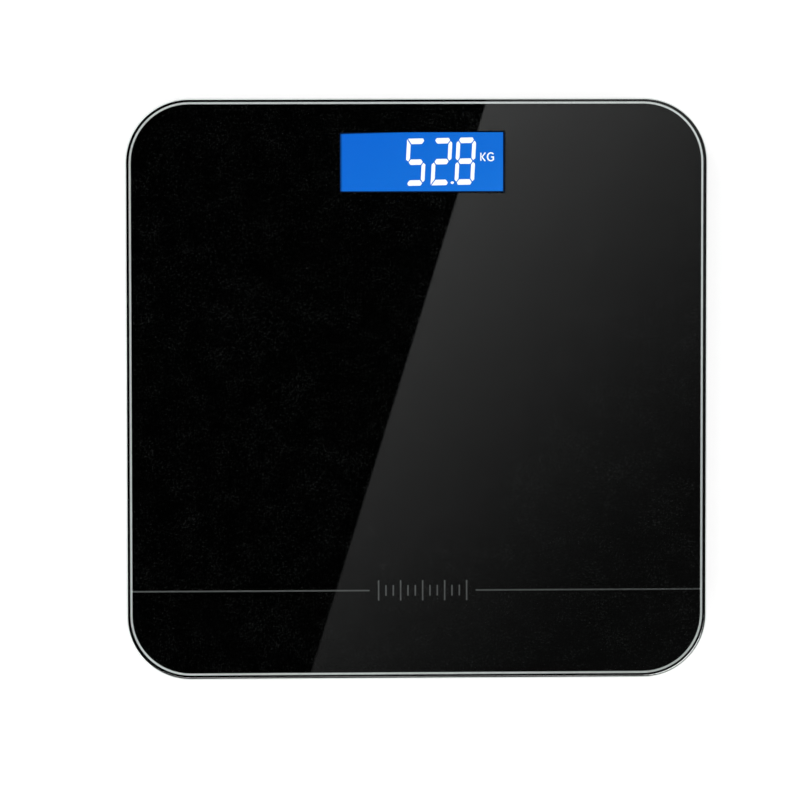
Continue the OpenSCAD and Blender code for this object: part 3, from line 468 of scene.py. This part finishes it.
def thicken(mesh):
    """Raises the flat shapes of the lit marks to their thickness."""
    bmesh.ops.remove_doubles(mesh, verts=mesh.verts, dist=1e-7)
    grown = bmesh.ops.extrude_face_region(mesh, geom=list(mesh.faces), use_keep_orig=True)["geom"]
    raised = [v for v in grown if isinstance(v, bmesh.types.BMVert)]
    bmesh.ops.translate(mesh, vec=(0, 0, LIT_THICK), verts=raised)
    bmesh.ops.recalc_face_normals(mesh, faces=mesh.faces)


def lean(mesh, show):
    """Slants the digits to the right above their foot and lets their row climb about its middle."""
    for vert in mesh.verts:
        vert.co.x += (vert.co.y - DIGITS_Y) * math.tan(show.slant)
        vert.co.y += (vert.co.x - RISE_MIDDLE) * math.tan(show.rise)


def stroke_corners(start, end, width):
    """Corners of a straight stroke between two points."""
    side = (end - start).normalized().orthogonal() * width / 2
    return [start + side, end + side, end - side, start - side]


def unit_arc(mesh, at):
    """The open round stroke of the unit mark: a ring spun from a short line, then made oval."""
    outer_radius, inner_radius = 1.0, 0.5
    mesh.edges.new([mesh.verts.new((radius, 0, 0)) for radius in (outer_radius, inner_radius)])
    bmesh.ops.spin(mesh, geom=list(mesh.verts) + list(mesh.edges), cent=(0, 0, 0), axis=(0, 0, 1),
                   angle=math.radians(ARC_TURN), steps=ARC_STEPS, use_duplicate=False)
    bmesh.ops.rotate(mesh, verts=mesh.verts, cent=(0, 0, 0),
                     matrix=Matrix.Rotation(math.radians(ARC_START), 3, "Z"))
    middle_radius = (outer_radius + inner_radius) / 2
    outer = [v for v in mesh.verts if v.co.length > middle_radius]
    inner = [v for v in mesh.verts if v.co.length <= middle_radius]
    for verts, radius, half_size in ((outer, outer_radius, ARC_OUTER), (inner, inner_radius, ARC_INNER)):
        wide, high = (half * MM / radius for half in half_size)
        bmesh.ops.scale(mesh, vec=(wide, high, 1), verts=verts)
    bmesh.ops.translate(mesh, vec=at + Vector((ARC_MIDDLE * MM, 0, 0)), verts=mesh.verts)
    for face in mesh.faces:
        face_up(face)


# ---- finishes of single pieces ----

def tempered_glass(tint):
    """Clear tinted glass with faint smears, which lets the lamps through to the print."""
    glass, tree, shader, where = shaded_material("Tempered glass")
    smear = noise(tree, where, 9.0, detail=5.0, roughness=0.6)
    feed(tree, ramp(tree, smear, 0.45, 0.75, 0.0, 0.012), shader.inputs["Roughness"])
    feed(tree, (*tint, 1), shader.inputs["Base Color"])
    feed(tree, 1.0, shader.inputs["Transmission Weight"])
    feed(tree, GLASS_IOR, shader.inputs["IOR"])
    surface = shader.outputs[0].links[0].to_socket
    clear = node(tree, "ShaderNodeBsdfTransparent", {"Color": (0.93, 0.95, 0.94, 1)})
    shadow_ray = node(tree, "ShaderNodeLightPath").outputs["Is Shadow Ray"]
    either = node(tree, "ShaderNodeMixShader", {0: shadow_ray, 1: shader.outputs[0], 2: clear.outputs[0]})
    feed(tree, either.outputs[0], surface)
    return glass


def black_print(ink_colour):
    """Near-black ink with sparse specks that are a little lighter."""
    speck_share = 40                        # how many times lighter a full speck is than the ink
    ink, tree, shader, where = shaded_material("Black screen print")
    speck = noise(tree, where, 1300.0, detail=1.0)
    cloud = noise(tree, where, 90.0, detail=3.0)
    mask = ramp(tree, maths(tree, "ADD", speck, product(tree, cloud, 0.3)), 0.66, 0.95)
    speck_colour = shades(ink_colour, speck_share)
    colour = blend_colours(tree, maths(tree, "POWER", mask, 2.0), ink_colour, speck_colour)
    feed(tree, colour, shader.inputs["Base Color"])
    feed(tree, spread(tree, speck, 0.42, 0.6), shader.inputs["Roughness"])
    relief_into(tree, shader, speck, 0.15, 0.00004)
    feed(tree, 0.0, shader.inputs["Specular IOR Level"])
    return ink


def silver_print(border_colour, line_colour):
    """Flaked ink, bright on the border line and dim on the front line, with painted shade that darkens it to
    the front right.
    """
    line_y = glass_low.y + 45.6 * MM        # the front line
    line_half = 6.2 * MM                    # half the depth of the band with the line and its ticks
    border_x = glass_high.x - 3.2 * MM      # the ends of the front line, short of the border line
    shade_over = 250 * MM                    # how far to the front right the painted shade goes on darkening the ink
    silver, tree, shader, where = shaded_material("Silver screen print")
    flakes = node(tree, "ShaderNodeTexVoronoi", {"Vector": where, "Scale": 5200.0}).outputs["Distance"]
    place = axes(tree, where)
    in_band = maths(tree, "COMPARE", place["Y"], line_y, line_half)
    inside = maths(tree, "LESS_THAN", maths(tree, "ABSOLUTE", place["X"]), border_x)
    # painted shade: the ink darkens in a straight ramp from the back left to the front right
    painted_shade_ramp = ramp(tree, maths(tree, "SUBTRACT", place["X"], place["Y"]), 0.0, shade_over)
    inks = []
    for colour, most, least in ((border_colour, 1.0, 0.77), (line_colour, 1.09, 0.58)):
        # each ink goes from its lit colour to its colour under the painted shade
        shaded_ink = blend_colours(tree, painted_shade_ramp, shades(colour, most), shades(colour, least))
        inks.append(blend_colours(tree, product(tree, flakes, 0.25), shaded_ink, (0, 0, 0)))
    feed(tree, blend_colours(tree, product(tree, in_band, inside), *inks), shader.inputs["Base Color"])
    feed(tree, spread(tree, flakes, 0.38, 0.55), shader.inputs["Roughness"])
    return silver


def window_shade(tree, x, y):
    """Painted shade on the display: 1 inside its window, and fading to 0 at the window's edges."""
    taper_start, taper_long = WINDOW_LEFT + 0.4 * MM, 38 * MM   # the painted back shadow tapers to the right
    shadow = ramp(tree, x, taper_start, taper_start + taper_long, 0.75 * MM, -0.3 * MM)
    left = ramp(tree, x, WINDOW_LEFT - 0.35 * MM, WINDOW_LEFT + 1.7 * MM, smooth=True)
    right = ramp(tree, x, WINDOW_RIGHT - 0.75 * MM, WINDOW_RIGHT - 0.95 * MM)
    front = ramp(tree, y, WINDOW_FRONT + 0.5 * MM, WINDOW_FRONT + 0.7 * MM)
    back = ramp(tree, maths(tree, "ADD", y, shadow),
                WINDOW_BACK + 0.25 * MM, WINDOW_BACK - 0.55 * MM, smooth=True)
    return product(tree, left, right, front, back)


def backlit_film(show):
    """The lit face: an uneven blue that goes from a dimmer to a brighter corner."""
    lit, tree, shader, where = shaded_material("Backlit blue film")
    place = axes(tree, where)
    across = ramp(tree, place["X"], film_low.x, film_high.x)
    down = ramp(tree, place["Y"], film_high.y, film_low.y)
    corner = maths(tree, "ADD", product(tree, across, 0.55), product(tree, down, 0.45))
    cloud = noise(tree, where, 45.0)
    drift = product(tree, maths(tree, "SUBTRACT", cloud, 0.5), 0.25)
    uneven = maths(tree, "ADD", corner, drift)
    colour = blend_colours(tree, ramp(tree, uneven, 0.1, 0.5), tuple(show.face_dark), tuple(show.face))
    colour = blend_colours(tree, ramp(tree, uneven, 0.6, 1.0), colour, tuple(show.face_light))
    # painted shade: the lit film darkens to near black at the window's edges
    shade = window_shade(tree, place["X"], place["Y"])
    feed(tree, blend_colours(tree, shade, (0, 0.002, 0.01), colour), shader.inputs["Emission Color"])
    feed(tree, 1.0, shader.inputs["Emission Strength"])
    feed(tree, (0.004, 0.01, 0.03, 1), shader.inputs["Base Color"])
    feed(tree, spread(tree, cloud, 0.3, 0.45), shader.inputs["Roughness"])
    feed(tree, 0.1, shader.inputs["Specular IOR Level"])
    return lit


def lit_white(name):
    """White that glows, with the faint unevenness of a lit film."""
    made, tree, shader, where = shaded_material(name)
    glow = blend_colours(tree, noise(tree, where, 160.0), (1.0, 1.0, 1.0), (0.93, 0.97, 1.0))
    feed(tree, glow, shader.inputs["Emission Color"])
    feed(tree, 1.12, shader.inputs["Emission Strength"])
    feed(tree, (0.1, 0.1, 0.1, 1), shader.inputs["Base Color"])
    feed(tree, 0.1, shader.inputs["Specular IOR Level"])
    return made


def solder_mask():
    """Green lacquer over a grid of copper tracks."""
    board, tree, shader, where = shaded_material("Solder mask")
    tracks = node(tree, "ShaderNodeTexBrick", {
        "Vector": where, "Scale": 90.0, "Mortar Size": 0.018, "Color1": (0.012, 0.09, 0.03, 1),
        "Color2": (0.014, 0.1, 0.034, 1), "Mortar": (0.03, 0.2, 0.07, 1)}).outputs
    cloud = noise(tree, where, 70.0, detail=3.0)
    colour = blend_colours(tree, product(tree, cloud, 0.4), (0.01, 0.07, 0.025), tracks["Color"])
    feed(tree, colour, shader.inputs["Base Color"])
    feed(tree, spread(tree, cloud, 0.2, 0.38), shader.inputs["Roughness"])
    relief_into(tree, shader, tracks[1], 0.3, 0.00004)
    return board


def cell_sleeve(number, way):
    """A dark sleeve with a gold band at the end where the cell's bare steel tip is."""
    band_long, bare_long = 12 * MM, 1.1 * MM
    low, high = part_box(f"battery_{number}")
    tip = high.x if way > 0 else -low.x
    made, tree, shader, where = shaded_material(f"Cell sleeve {number}")
    along = product(tree, axes(tree, where)["X"], way)
    band = maths(tree, "GREATER_THAN", along, tip - band_long)
    bare = maths(tree, "GREATER_THAN", along, tip - bare_long)
    scuff = noise(tree, where, 260.0, detail=5.0)
    sleeve = blend_colours(tree, scuff, (0.012, 0.016, 0.03), (0.03, 0.036, 0.055))
    gold = blend_colours(tree, scuff, (0.55, 0.3, 0.09), (0.42, 0.22, 0.06))
    steel = blend_colours(tree, scuff, (0.62, 0.62, 0.63), (0.5, 0.5, 0.51))
    colour = blend_colours(tree, bare, blend_colours(tree, band, sleeve, gold), steel)
    feed(tree, colour, shader.inputs["Base Color"])
    feed(tree, maths(tree, "MAXIMUM", bare, product(tree, band, 0.6)), shader.inputs["Metallic"])
    feed(tree, spread(tree, scuff, 0.2, 0.36), shader.inputs["Roughness"])
    return made


# ---- operators ----

class SCALE_OT_platform(bpy.types.Operator):
    """Makes the glass sheet and finishes the prints and the tape under it"""
    bl_idname = "scale.platform"
    bl_label = "Glass platform"

    def execute(self, context):
        settings, finish = context.scene.scale_glass, context.scene.scale_finish
        sheet = piece("glass_sheet", glass_mesh(settings), tempered_glass(tuple(settings.tint)))
        sheet.data.materials.append(moulded(
            "Ground glass edge", (0.8, 0.85, 0.83), shade=0.9, patch=40, grain=2600, gloss=(0.3, 0.45),
            bump=(0.25, 0.00006), constants={"Transmission Weight": 0.2, "IOR": GLASS_IOR}))
        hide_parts("glass_platform")
        put_on(black_print(tuple(finish.ink)), "black_print")
        put_on(silver_print(tuple(finish.silver), tuple(finish.line)), "silver_print")
        put_on(moulded("Foam tape", (0.8, 0.8, 0.74), shade=0.85, patch=60, grain=900, gloss=(0.8, 0.95),
                       bump=(0.5, 0.0003)), "bonding_tape")
        return {"FINISHED"}


class SCALE_OT_display_face(bpy.types.Operator):
    """Lights the display and finishes the parts behind its window"""
    bl_idname = "scale.display_face"
    bl_label = "Display face"

    def execute(self, context):
        put_on(backlit_film(context.scene.scale_display), "polarisers")
        put_on(moulded("Display glass", (0.5, 0.66, 0.8), shade=0.9, patch=20, grain=900,
                       gloss=(0.04, 0.1), bump=(0.02, 0.00005)), "display_front_glass", "display_rear_glass")
        put_on(moulded("Acrylic light guide", (0.8, 0.86, 0.95), shade=0.94, patch=15, grain=700,
                       gloss=(0.06, 0.14), bump=(0.04, 0.00005)), "light_guide")
        put_on(moulded("Lamp gel", (0.95, 0.85, 0.45), shade=0.85, patch=90, grain=900,
                       gloss=(0.15, 0.25), bump=(0.05, 0.00005)), "backlight_lamps")
        put_on(moulded("Layered contact rubber", (0.62, 0.2, 0.3), shade=0.7, patch=120, grain=2500,
                       gloss=(0.6, 0.75), bump=(0.3, 0.0001)), "contact_strips")
        put_on(moulded("Black foam gasket", (0.02, 0.02, 0.02), shade=0.6, patch=60, grain=1400,
                       gloss=(0.85, 0.95), bump=(0.5, 0.0002)), "window_gasket")
        put_on(moulded("White display holder", (0.8, 0.8, 0.79), shade=0.93, patch=30, grain=1600,
                       gloss=(0.35, 0.5)), "display_holder")
        return {"FINISHED"}


class SCALE_OT_reading(bpy.types.Operator):
    """Makes the lit digits of the reading"""
    bl_idname = "scale.reading"
    bl_label = "Reading"

    def digit(self, digits, sign, left, show):
        if sign not in SEGMENTS:
            raise ValueError(f"the display has no segments for {sign!r}")
        for letter in SEGMENTS[sign]:
            outline = segment_outline(letter, SEGMENTS[sign], show.digit_width, show.digit_height)
            corners = [(left + x, DIGITS_Y + y) for x, y in outline]
            flat_shape(digits, corners, SEGMENT_GAP, SEGMENT_ROUND)

    def dot(self, digits, left):
        """The dot before the digit whose left side is given."""
        at = Vector((left - DOT_BACK, DIGITS_Y + DOT_UP, film_high.z))
        bmesh.ops.create_circle(digits, cap_ends=True, segments=20, radius=1,
                                matrix=Matrix.Translation(at) @ Matrix.Diagonal((*DOT_RADII, 1, 1)))

    def execute(self, context):
        show = context.scene.scale_display
        digits = bmesh.new()
        left = LAST_DIGIT_X
        shift = 0
        for sign in reversed(show.reading):
            if sign == ".":
                self.dot(digits, left + show.digit_pitch)
                shift = show.before_dot
                continue
            self.digit(digits, sign, left + shift, show)
            left -= show.digit_pitch
            shift = 0
        thicken(digits)
        lean(digits, show)
        piece("display_digits", digits, lit_white("Lit digits"))
        return {"FINISHED"}


class SCALE_OT_unit_mark(bpy.types.Operator):
    """Makes the lit unit beside the reading"""
    bl_idname = "scale.unit_mark"
    bl_label = "Unit mark"

    def execute(self, context):
        at = Vector((UNIT_X, UNIT_Y, film_high.z))
        mark = bmesh.new()
        unit_arc(mark, at)
        for start, end, width in UNIT_STROKES:
            corners = stroke_corners(at.xy + Vector(start) * MM, at.xy + Vector(end) * MM, width * MM)
            flat_shape(mark, corners)
        thicken(mark)
        piece("display_unit", mark, lit_white("Lit unit"))
        return {"FINISHED"}


class SCALE_OT_housing(bpy.types.Operator):
    """Finishes the moulded housing, its screws and the battery door"""
    bl_idname = "scale.housing"
    bl_label = "Housing"

    def execute(self, context):
        colour = tuple(context.scene.scale_finish.housing)
        put_on(moulded("Textured housing", colour, shade=0.93, patch=18, grain=3600, gloss=(0.42, 0.56),
                       bump=(0.8, 0.00013)), "carrier_frame", "bottom_cover")
        put_on(moulded("Textured door", shades(colour, 0.985), shade=0.93, patch=24, grain=3600,
                       gloss=(0.4, 0.54), bump=(0.8, 0.00013)), "battery_door", "door_latch")
        put_on(metal("Zinc screws", (0.62, 0.63, 0.65), shade=0.7, marks=900, gloss=(0.22, 0.42)),
               "cover_screws", "board_screws")
        put_on(moulded("Grey button", (0.27, 0.275, 0.285), shade=0.85, patch=80, grain=2400,
                       gloss=(0.38, 0.5), bump=(0.3, 0.00008)), "unit_button")
        return {"FINISHED"}


class SCALE_OT_feet(bpy.types.Operator):
    """Finishes the feet, their rubber pads and the load cells"""
    bl_idname = "scale.feet"
    bl_label = "Feet"

    def execute(self, context):
        colour = shades(tuple(context.scene.scale_finish.housing), 0.96)
        cup = moulded("Foot cup", colour, shade=0.92, patch=40, grain=3400, gloss=(0.4, 0.55),
                      bump=(0.8, 0.00013))
        rubber = moulded("Foot rubber", (0.03, 0.03, 0.032), shade=1.9, patch=70, grain=1700,
                         gloss=(0.6, 0.85), bump=(0.5, 0.00012))
        cell = metal("Load cell steel", (0.6, 0.61, 0.62), shade=0.72, marks=300, gloss=(0.2, 0.38))
        for corner in ("front_left", "front_right", "back_left", "back_right"):
            put_on(cup, f"foot_{corner}")
            put_on(rubber, f"foot_pad_{corner}")
            put_on(cell, f"load_cell_{corner}")
        put_on(moulded("Silicone seal", (0.85, 0.85, 0.82), shade=0.93, patch=90, grain=700,
                       gloss=(0.25, 0.4), bump=(0.3, 0.0002)), "gauge_seals")
        return {"FINISHED"}


class SCALE_OT_electronics(bpy.types.Operator):
    """Finishes the board, its parts and the leads"""
    bl_idname = "scale.electronics"
    bl_label = "Electronics"

    def small_parts(self):
        for name, colour, shade, patch, gloss, member in (
            ("Ceramic chips", (0.3, 0.16, 0.07), 0.75, 400, (0.4, 0.6), "capacitors"),
            ("Chip resistors", (0.015, 0.015, 0.016), 2.2, 400, (0.35, 0.55), "chip_resistors"),
            ("Switch body", (0.02, 0.02, 0.021), 1.8, 300, (0.4, 0.55), "unit_switch"),
            ("Switch stem", (0.5, 0.5, 0.46), 0.85, 200, (0.4, 0.55), "switch_plunger"),
        ):
            put_on(moulded(name, colour, shade=shade, patch=patch, grain=2500, gloss=gloss), member)

    def leads(self):
        for name, colour, shade, members in (
            ("Red lead", (0.5, 0.015, 0.012), 0.75, ("red_leads", "battery_lead_positive")),
            ("White lead", (0.75, 0.75, 0.72), 0.75, ("white_leads",)),
            ("Black lead", (0.012, 0.012, 0.012), 2.0, ("black_leads", "battery_lead_negative")),
        ):
            put_on(moulded(name, colour, shade=shade, patch=120, gloss=(0.3, 0.45)), *members)

    def execute(self, context):
        put_on(solder_mask(), "main_board")
        put_on(moulded("Module mask", (0.01, 0.05, 0.2), shade=0.7, patch=150, grain=1200,
                       gloss=(0.2, 0.35), bump=(0.1, 0.00004)), "wireless_module")
        put_on(moulded("Epoxy blob", (0.006, 0.006, 0.006), shade=2.0, patch=200, grain=500,
                       gloss=(0.12, 0.3), bump=(0.2, 0.0002)), "sealed_chip")
        put_on(metal("Tinned can", (0.72, 0.72, 0.73), shade=0.8, marks=700, gloss=(0.2, 0.36)),
               "module_shield", "crystal_can")
        self.small_parts()
        self.leads()
        return {"FINISHED"}


class SCALE_OT_batteries(bpy.types.Operator):
    """Finishes the cells and their springs and contacts"""
    bl_idname = "scale.batteries"
    bl_label = "Batteries"

    def execute(self, context):
        for number, way in CELL_WAYS.items():
            put_on(cell_sleeve(number, way), f"battery_{number}")
        put_on(metal("Spring wire", (0.7, 0.7, 0.71), shade=0.75, marks=1500, gloss=(0.15, 0.3)),
               "battery_springs")
        put_on(metal("Contact strip", (0.66, 0.6, 0.46), shade=0.8, marks=900, gloss=(0.2, 0.34)),
               "battery_contacts")
        return {"FINISHED"}


# ---- studio ----

def stage_object(name, mesh, material):
    made = new_object(name, mesh, material)
    return made


def reflection_card(name, mesh, material, level):
    """A stage object that glows at a level, and that only reflections and the glass show.

    Light that has left a matt surface finds the room's level on it, so it shades nothing.
    """
    tree = material.node_tree
    depth = node(tree, "ShaderNodeLightPath").outputs["Diffuse Depth"]
    room = product(tree, maths(tree, "GREATER_THAN", depth, 0.5), ROOM_LEVEL)
    lamp = node(tree, "ShaderNodeEmission", {"Strength": maths(tree, "MAXIMUM", level, room)})
    node(tree, "ShaderNodeOutputMaterial", {"Surface": lamp.outputs[0]})
    card = stage_object(name, mesh, material)
    card.visible_camera = card.visible_diffuse = card.visible_shadow = False
    card.visible_volume_scatter = False


class SCALE_OT_stage(bpy.types.Operator):
    """Sets the floor, the soft lamps, the reflected cards, the backdrop and the camera"""
    bl_idname = "scale.stage"
    bl_label = "Studio"

    def floor(self):
        """Pale to the camera, plain in reflections and the glass, and clear to the rest and from below."""
        half_size, near, far = 15, 0.6, 3.0
        near_glow, far_glow, plain_glow = 0.56, 0.66, 0.95
        made, tree = empty_material("Studio floor")
        path = node(tree, "ShaderNodeLightPath").outputs
        facing = node(tree, "ShaderNodeNewGeometry").outputs["Backfacing"]
        matt = node(tree, "ShaderNodeBsdfDiffuse", {"Color": (0.5, 0.5, 0.5, 1)})
        away = node(tree, "ShaderNodeVectorMath", {0: object_place(tree)}, operation="LENGTH")
        level = ramp(tree, away.outputs["Value"], near, far, near_glow, far_glow, smooth=True)
        lift = node(tree, "ShaderNodeEmission", {"Strength": level})
        shown = node(tree, "ShaderNodeAddShader", {0: matt.outputs[0], 1: lift.outputs[0]})
        plain = node(tree, "ShaderNodeEmission", {"Strength": plain_glow})
        clear = node(tree, "ShaderNodeBsdfTransparent")
        mirrored = maths(tree, "MAXIMUM", path["Is Glossy Ray"], path["Is Transmission Ray"])
        other = node(tree, "ShaderNodeMixShader", {0: mirrored, 1: clear.outputs[0], 2: plain.outputs[0]})
        seen = node(tree, "ShaderNodeMixShader",
                    {0: path["Is Camera Ray"], 1: other.outputs[0], 2: shown.outputs[0]})
        sided = node(tree, "ShaderNodeMixShader", {0: facing, 1: seen.outputs[0], 2: clear.outputs[0]})
        node(tree, "ShaderNodeOutputMaterial", {"Surface": sided.outputs[0]})
        mesh = bmesh.new()
        bmesh.ops.create_grid(mesh, x_segments=1, y_segments=1, size=half_size)
        stage_object("studio_floor", mesh, made)

    def overhead_card(self):
        """A card above the camera's view whose light side meets its dark side on a slant.

        A dark patch in the light side keeps glare off the lit display.
        """
        height, half_size = 1.0, 0.8
        edge_slope, dark_to, light_from = 0.308, 0.0515, 0.053
        fall_y, fall_x, fall_level = 0.461, 0.488, 0.2557   # how the light side dims to the front right
        least, rounding, contrast, strength = 0.075, 0.03, 2.4, 12.2
        patch_x, patch_y = (0.04705, 0.05795), (0.0884, 0.0212)     # middle and half size of the patch
        made, tree = empty_material("Overhead card")
        place = axes(tree, object_place(tree))
        x, y = place["X"], place["Y"]
        across = maths(tree, "SUBTRACT", x, product(tree, y, edge_slope))
        light = ramp(tree, across, dark_to, light_from)
        fall = maths(tree, "SUBTRACT", product(tree, y, fall_y), product(tree, x, fall_x))
        dimmed = maths(tree, "SMOOTH_MAX", maths(tree, "ADD", fall, fall_level), least, rounding)
        level = product(tree, maths(tree, "POWER", dimmed, contrast), strength)
        outside = [
            maths(tree, "GREATER_THAN", maths(tree, "ABSOLUTE", maths(tree, "SUBTRACT", along, middle)), half)
            for along, (middle, half) in ((x, patch_x), (y, patch_y))]
        lit_part = product(tree, light, maths(tree, "MAXIMUM", *outside))
        mesh = bmesh.new()
        bmesh.ops.create_grid(mesh, x_segments=1, y_segments=1, size=half_size,
                              matrix=Matrix.Translation((0, 0, height)))
        reflection_card("overhead_card", mesh, made, product(tree, level, lit_part))

    def wall_cards(self):
        """A ring of soft slanted panels that only reflections show."""
        radius, tall, middle = 1.4, 1.38, 0.71
        panels, slant, offset = 9.0, 11.2, -0.2
        edge_start, edge_end, dark, light = -0.04, 0.05, 0.03, 0.36
        made, tree = empty_material("Wall panels")
        place = axes(tree, object_place(tree))
        turn = maths(tree, "ARCTAN2", place["Y"], place["X"])
        height = maths(tree, "MULTIPLY_ADD", place["Z"], slant, offset)
        wave = maths(tree, "SINE", maths(tree, "ADD", product(tree, turn, panels), height))
        level = ramp(tree, wave, edge_start, edge_end, dark, light, smooth=True)
        mesh = bmesh.new()
        bmesh.ops.create_cone(mesh, cap_ends=False, segments=96, radius1=radius, radius2=radius, depth=tall,
                              matrix=Matrix.Translation((0, 0, middle)))
        reflection_card("wall_panels", mesh, made, level)

    def backdrop(self, scene):
        """White to the camera and through the glass, and at the room's level for the rest."""
        world = bpy.data.worlds.new("Studio backdrop")
        world.use_nodes = True
        tree = world.node_tree
        tree.nodes.clear()
        path = node(tree, "ShaderNodeLightPath").outputs
        white = maths(tree, "MAXIMUM", path["Is Camera Ray"], path["Is Transmission Ray"])
        strength = node(tree, "ShaderNodeMix", {0: white, 2: ROOM_LEVEL, 3: 1.0}, data_type="FLOAT")
        glow = node(tree, "ShaderNodeBackground", {"Color": (1, 1, 1, 1), "Strength": strength.outputs[0]})
        node(tree, "ShaderNodeOutputWorld", {"Surface": glow.outputs[0]})
        scene.world = world

    def lamps(self, scene):
        for name, (spot, share) in LAMPS.items():
            data = bpy.data.lights.new(f"soft_lamp_{name}", "AREA")
            data.size = LAMP_SIZE
            data.energy = scene.scale_studio.lamp_power * share
            lamp = bpy.data.objects.new(f"soft_lamp_{name}", data)
            lamp.location = spot
            lamp.rotation_euler = (-Vector(spot)).to_track_quat("-Z", "Y").to_euler()
            lamp.visible_glossy = lamp.visible_camera = lamp.visible_transmission = False
            scene.collection.objects.link(lamp)

    def camera(self, scene):
        settings = scene.scale_studio
        data = bpy.data.cameras.new("camera")
        data.sensor_width = SENSOR_WIDE
        data.lens = settings.lens
        made = bpy.data.objects.new("camera", data)
        made.location = settings.camera_at
        made.rotation_euler = settings.camera_turn
        scene.collection.objects.link(made)
        scene.camera = made

    def execute(self, context):
        self.floor()
        self.overhead_card()
        self.wall_cards()
        self.backdrop(context.scene)
        self.lamps(context.scene)
        self.camera(context.scene)
        context.scene.view_settings.view_transform = "Standard"
        return {"FINISHED"}


class SCALE_PT_panel(bpy.types.Panel):
    """Lists what dresses the bathroom scale"""
    bl_idname = "SCALE_PT_panel"
    bl_label = "Bathroom scale"
    bl_space_type = "VIEW_3D"
    bl_region_type = "UI"
    bl_category = "Scale"

    def draw(self, context):
        for step in STEPS:
            self.layout.operator(step.bl_idname)


SETTINGS = {"scale_glass": ScaleGlass, "scale_display": ScaleDisplay,
            "scale_finish": ScaleFinish, "scale_studio": ScaleStudio}
STEPS = (SCALE_OT_platform, SCALE_OT_display_face, SCALE_OT_reading, SCALE_OT_unit_mark,
         SCALE_OT_housing, SCALE_OT_feet, SCALE_OT_electronics, SCALE_OT_batteries, SCALE_OT_stage)


def register():
    for kind in (*SETTINGS.values(), *STEPS, SCALE_PT_panel):
        bpy.utils.register_class(kind)
    for name, kind in SETTINGS.items():
        setattr(bpy.types.Scene, name, bpy.props.PointerProperty(type=kind))


def unregister():
    for name in SETTINGS:
        delattr(bpy.types.Scene, name)
    for kind in reversed((*SETTINGS.values(), *STEPS, SCALE_PT_panel)):
        bpy.utils.unregister_class(kind)


def main():
    register()
    for step in STEPS:
        getattr(bpy.ops.scale, step.bl_idname.split(".")[1])()


if __name__ == "__main__":
    main()
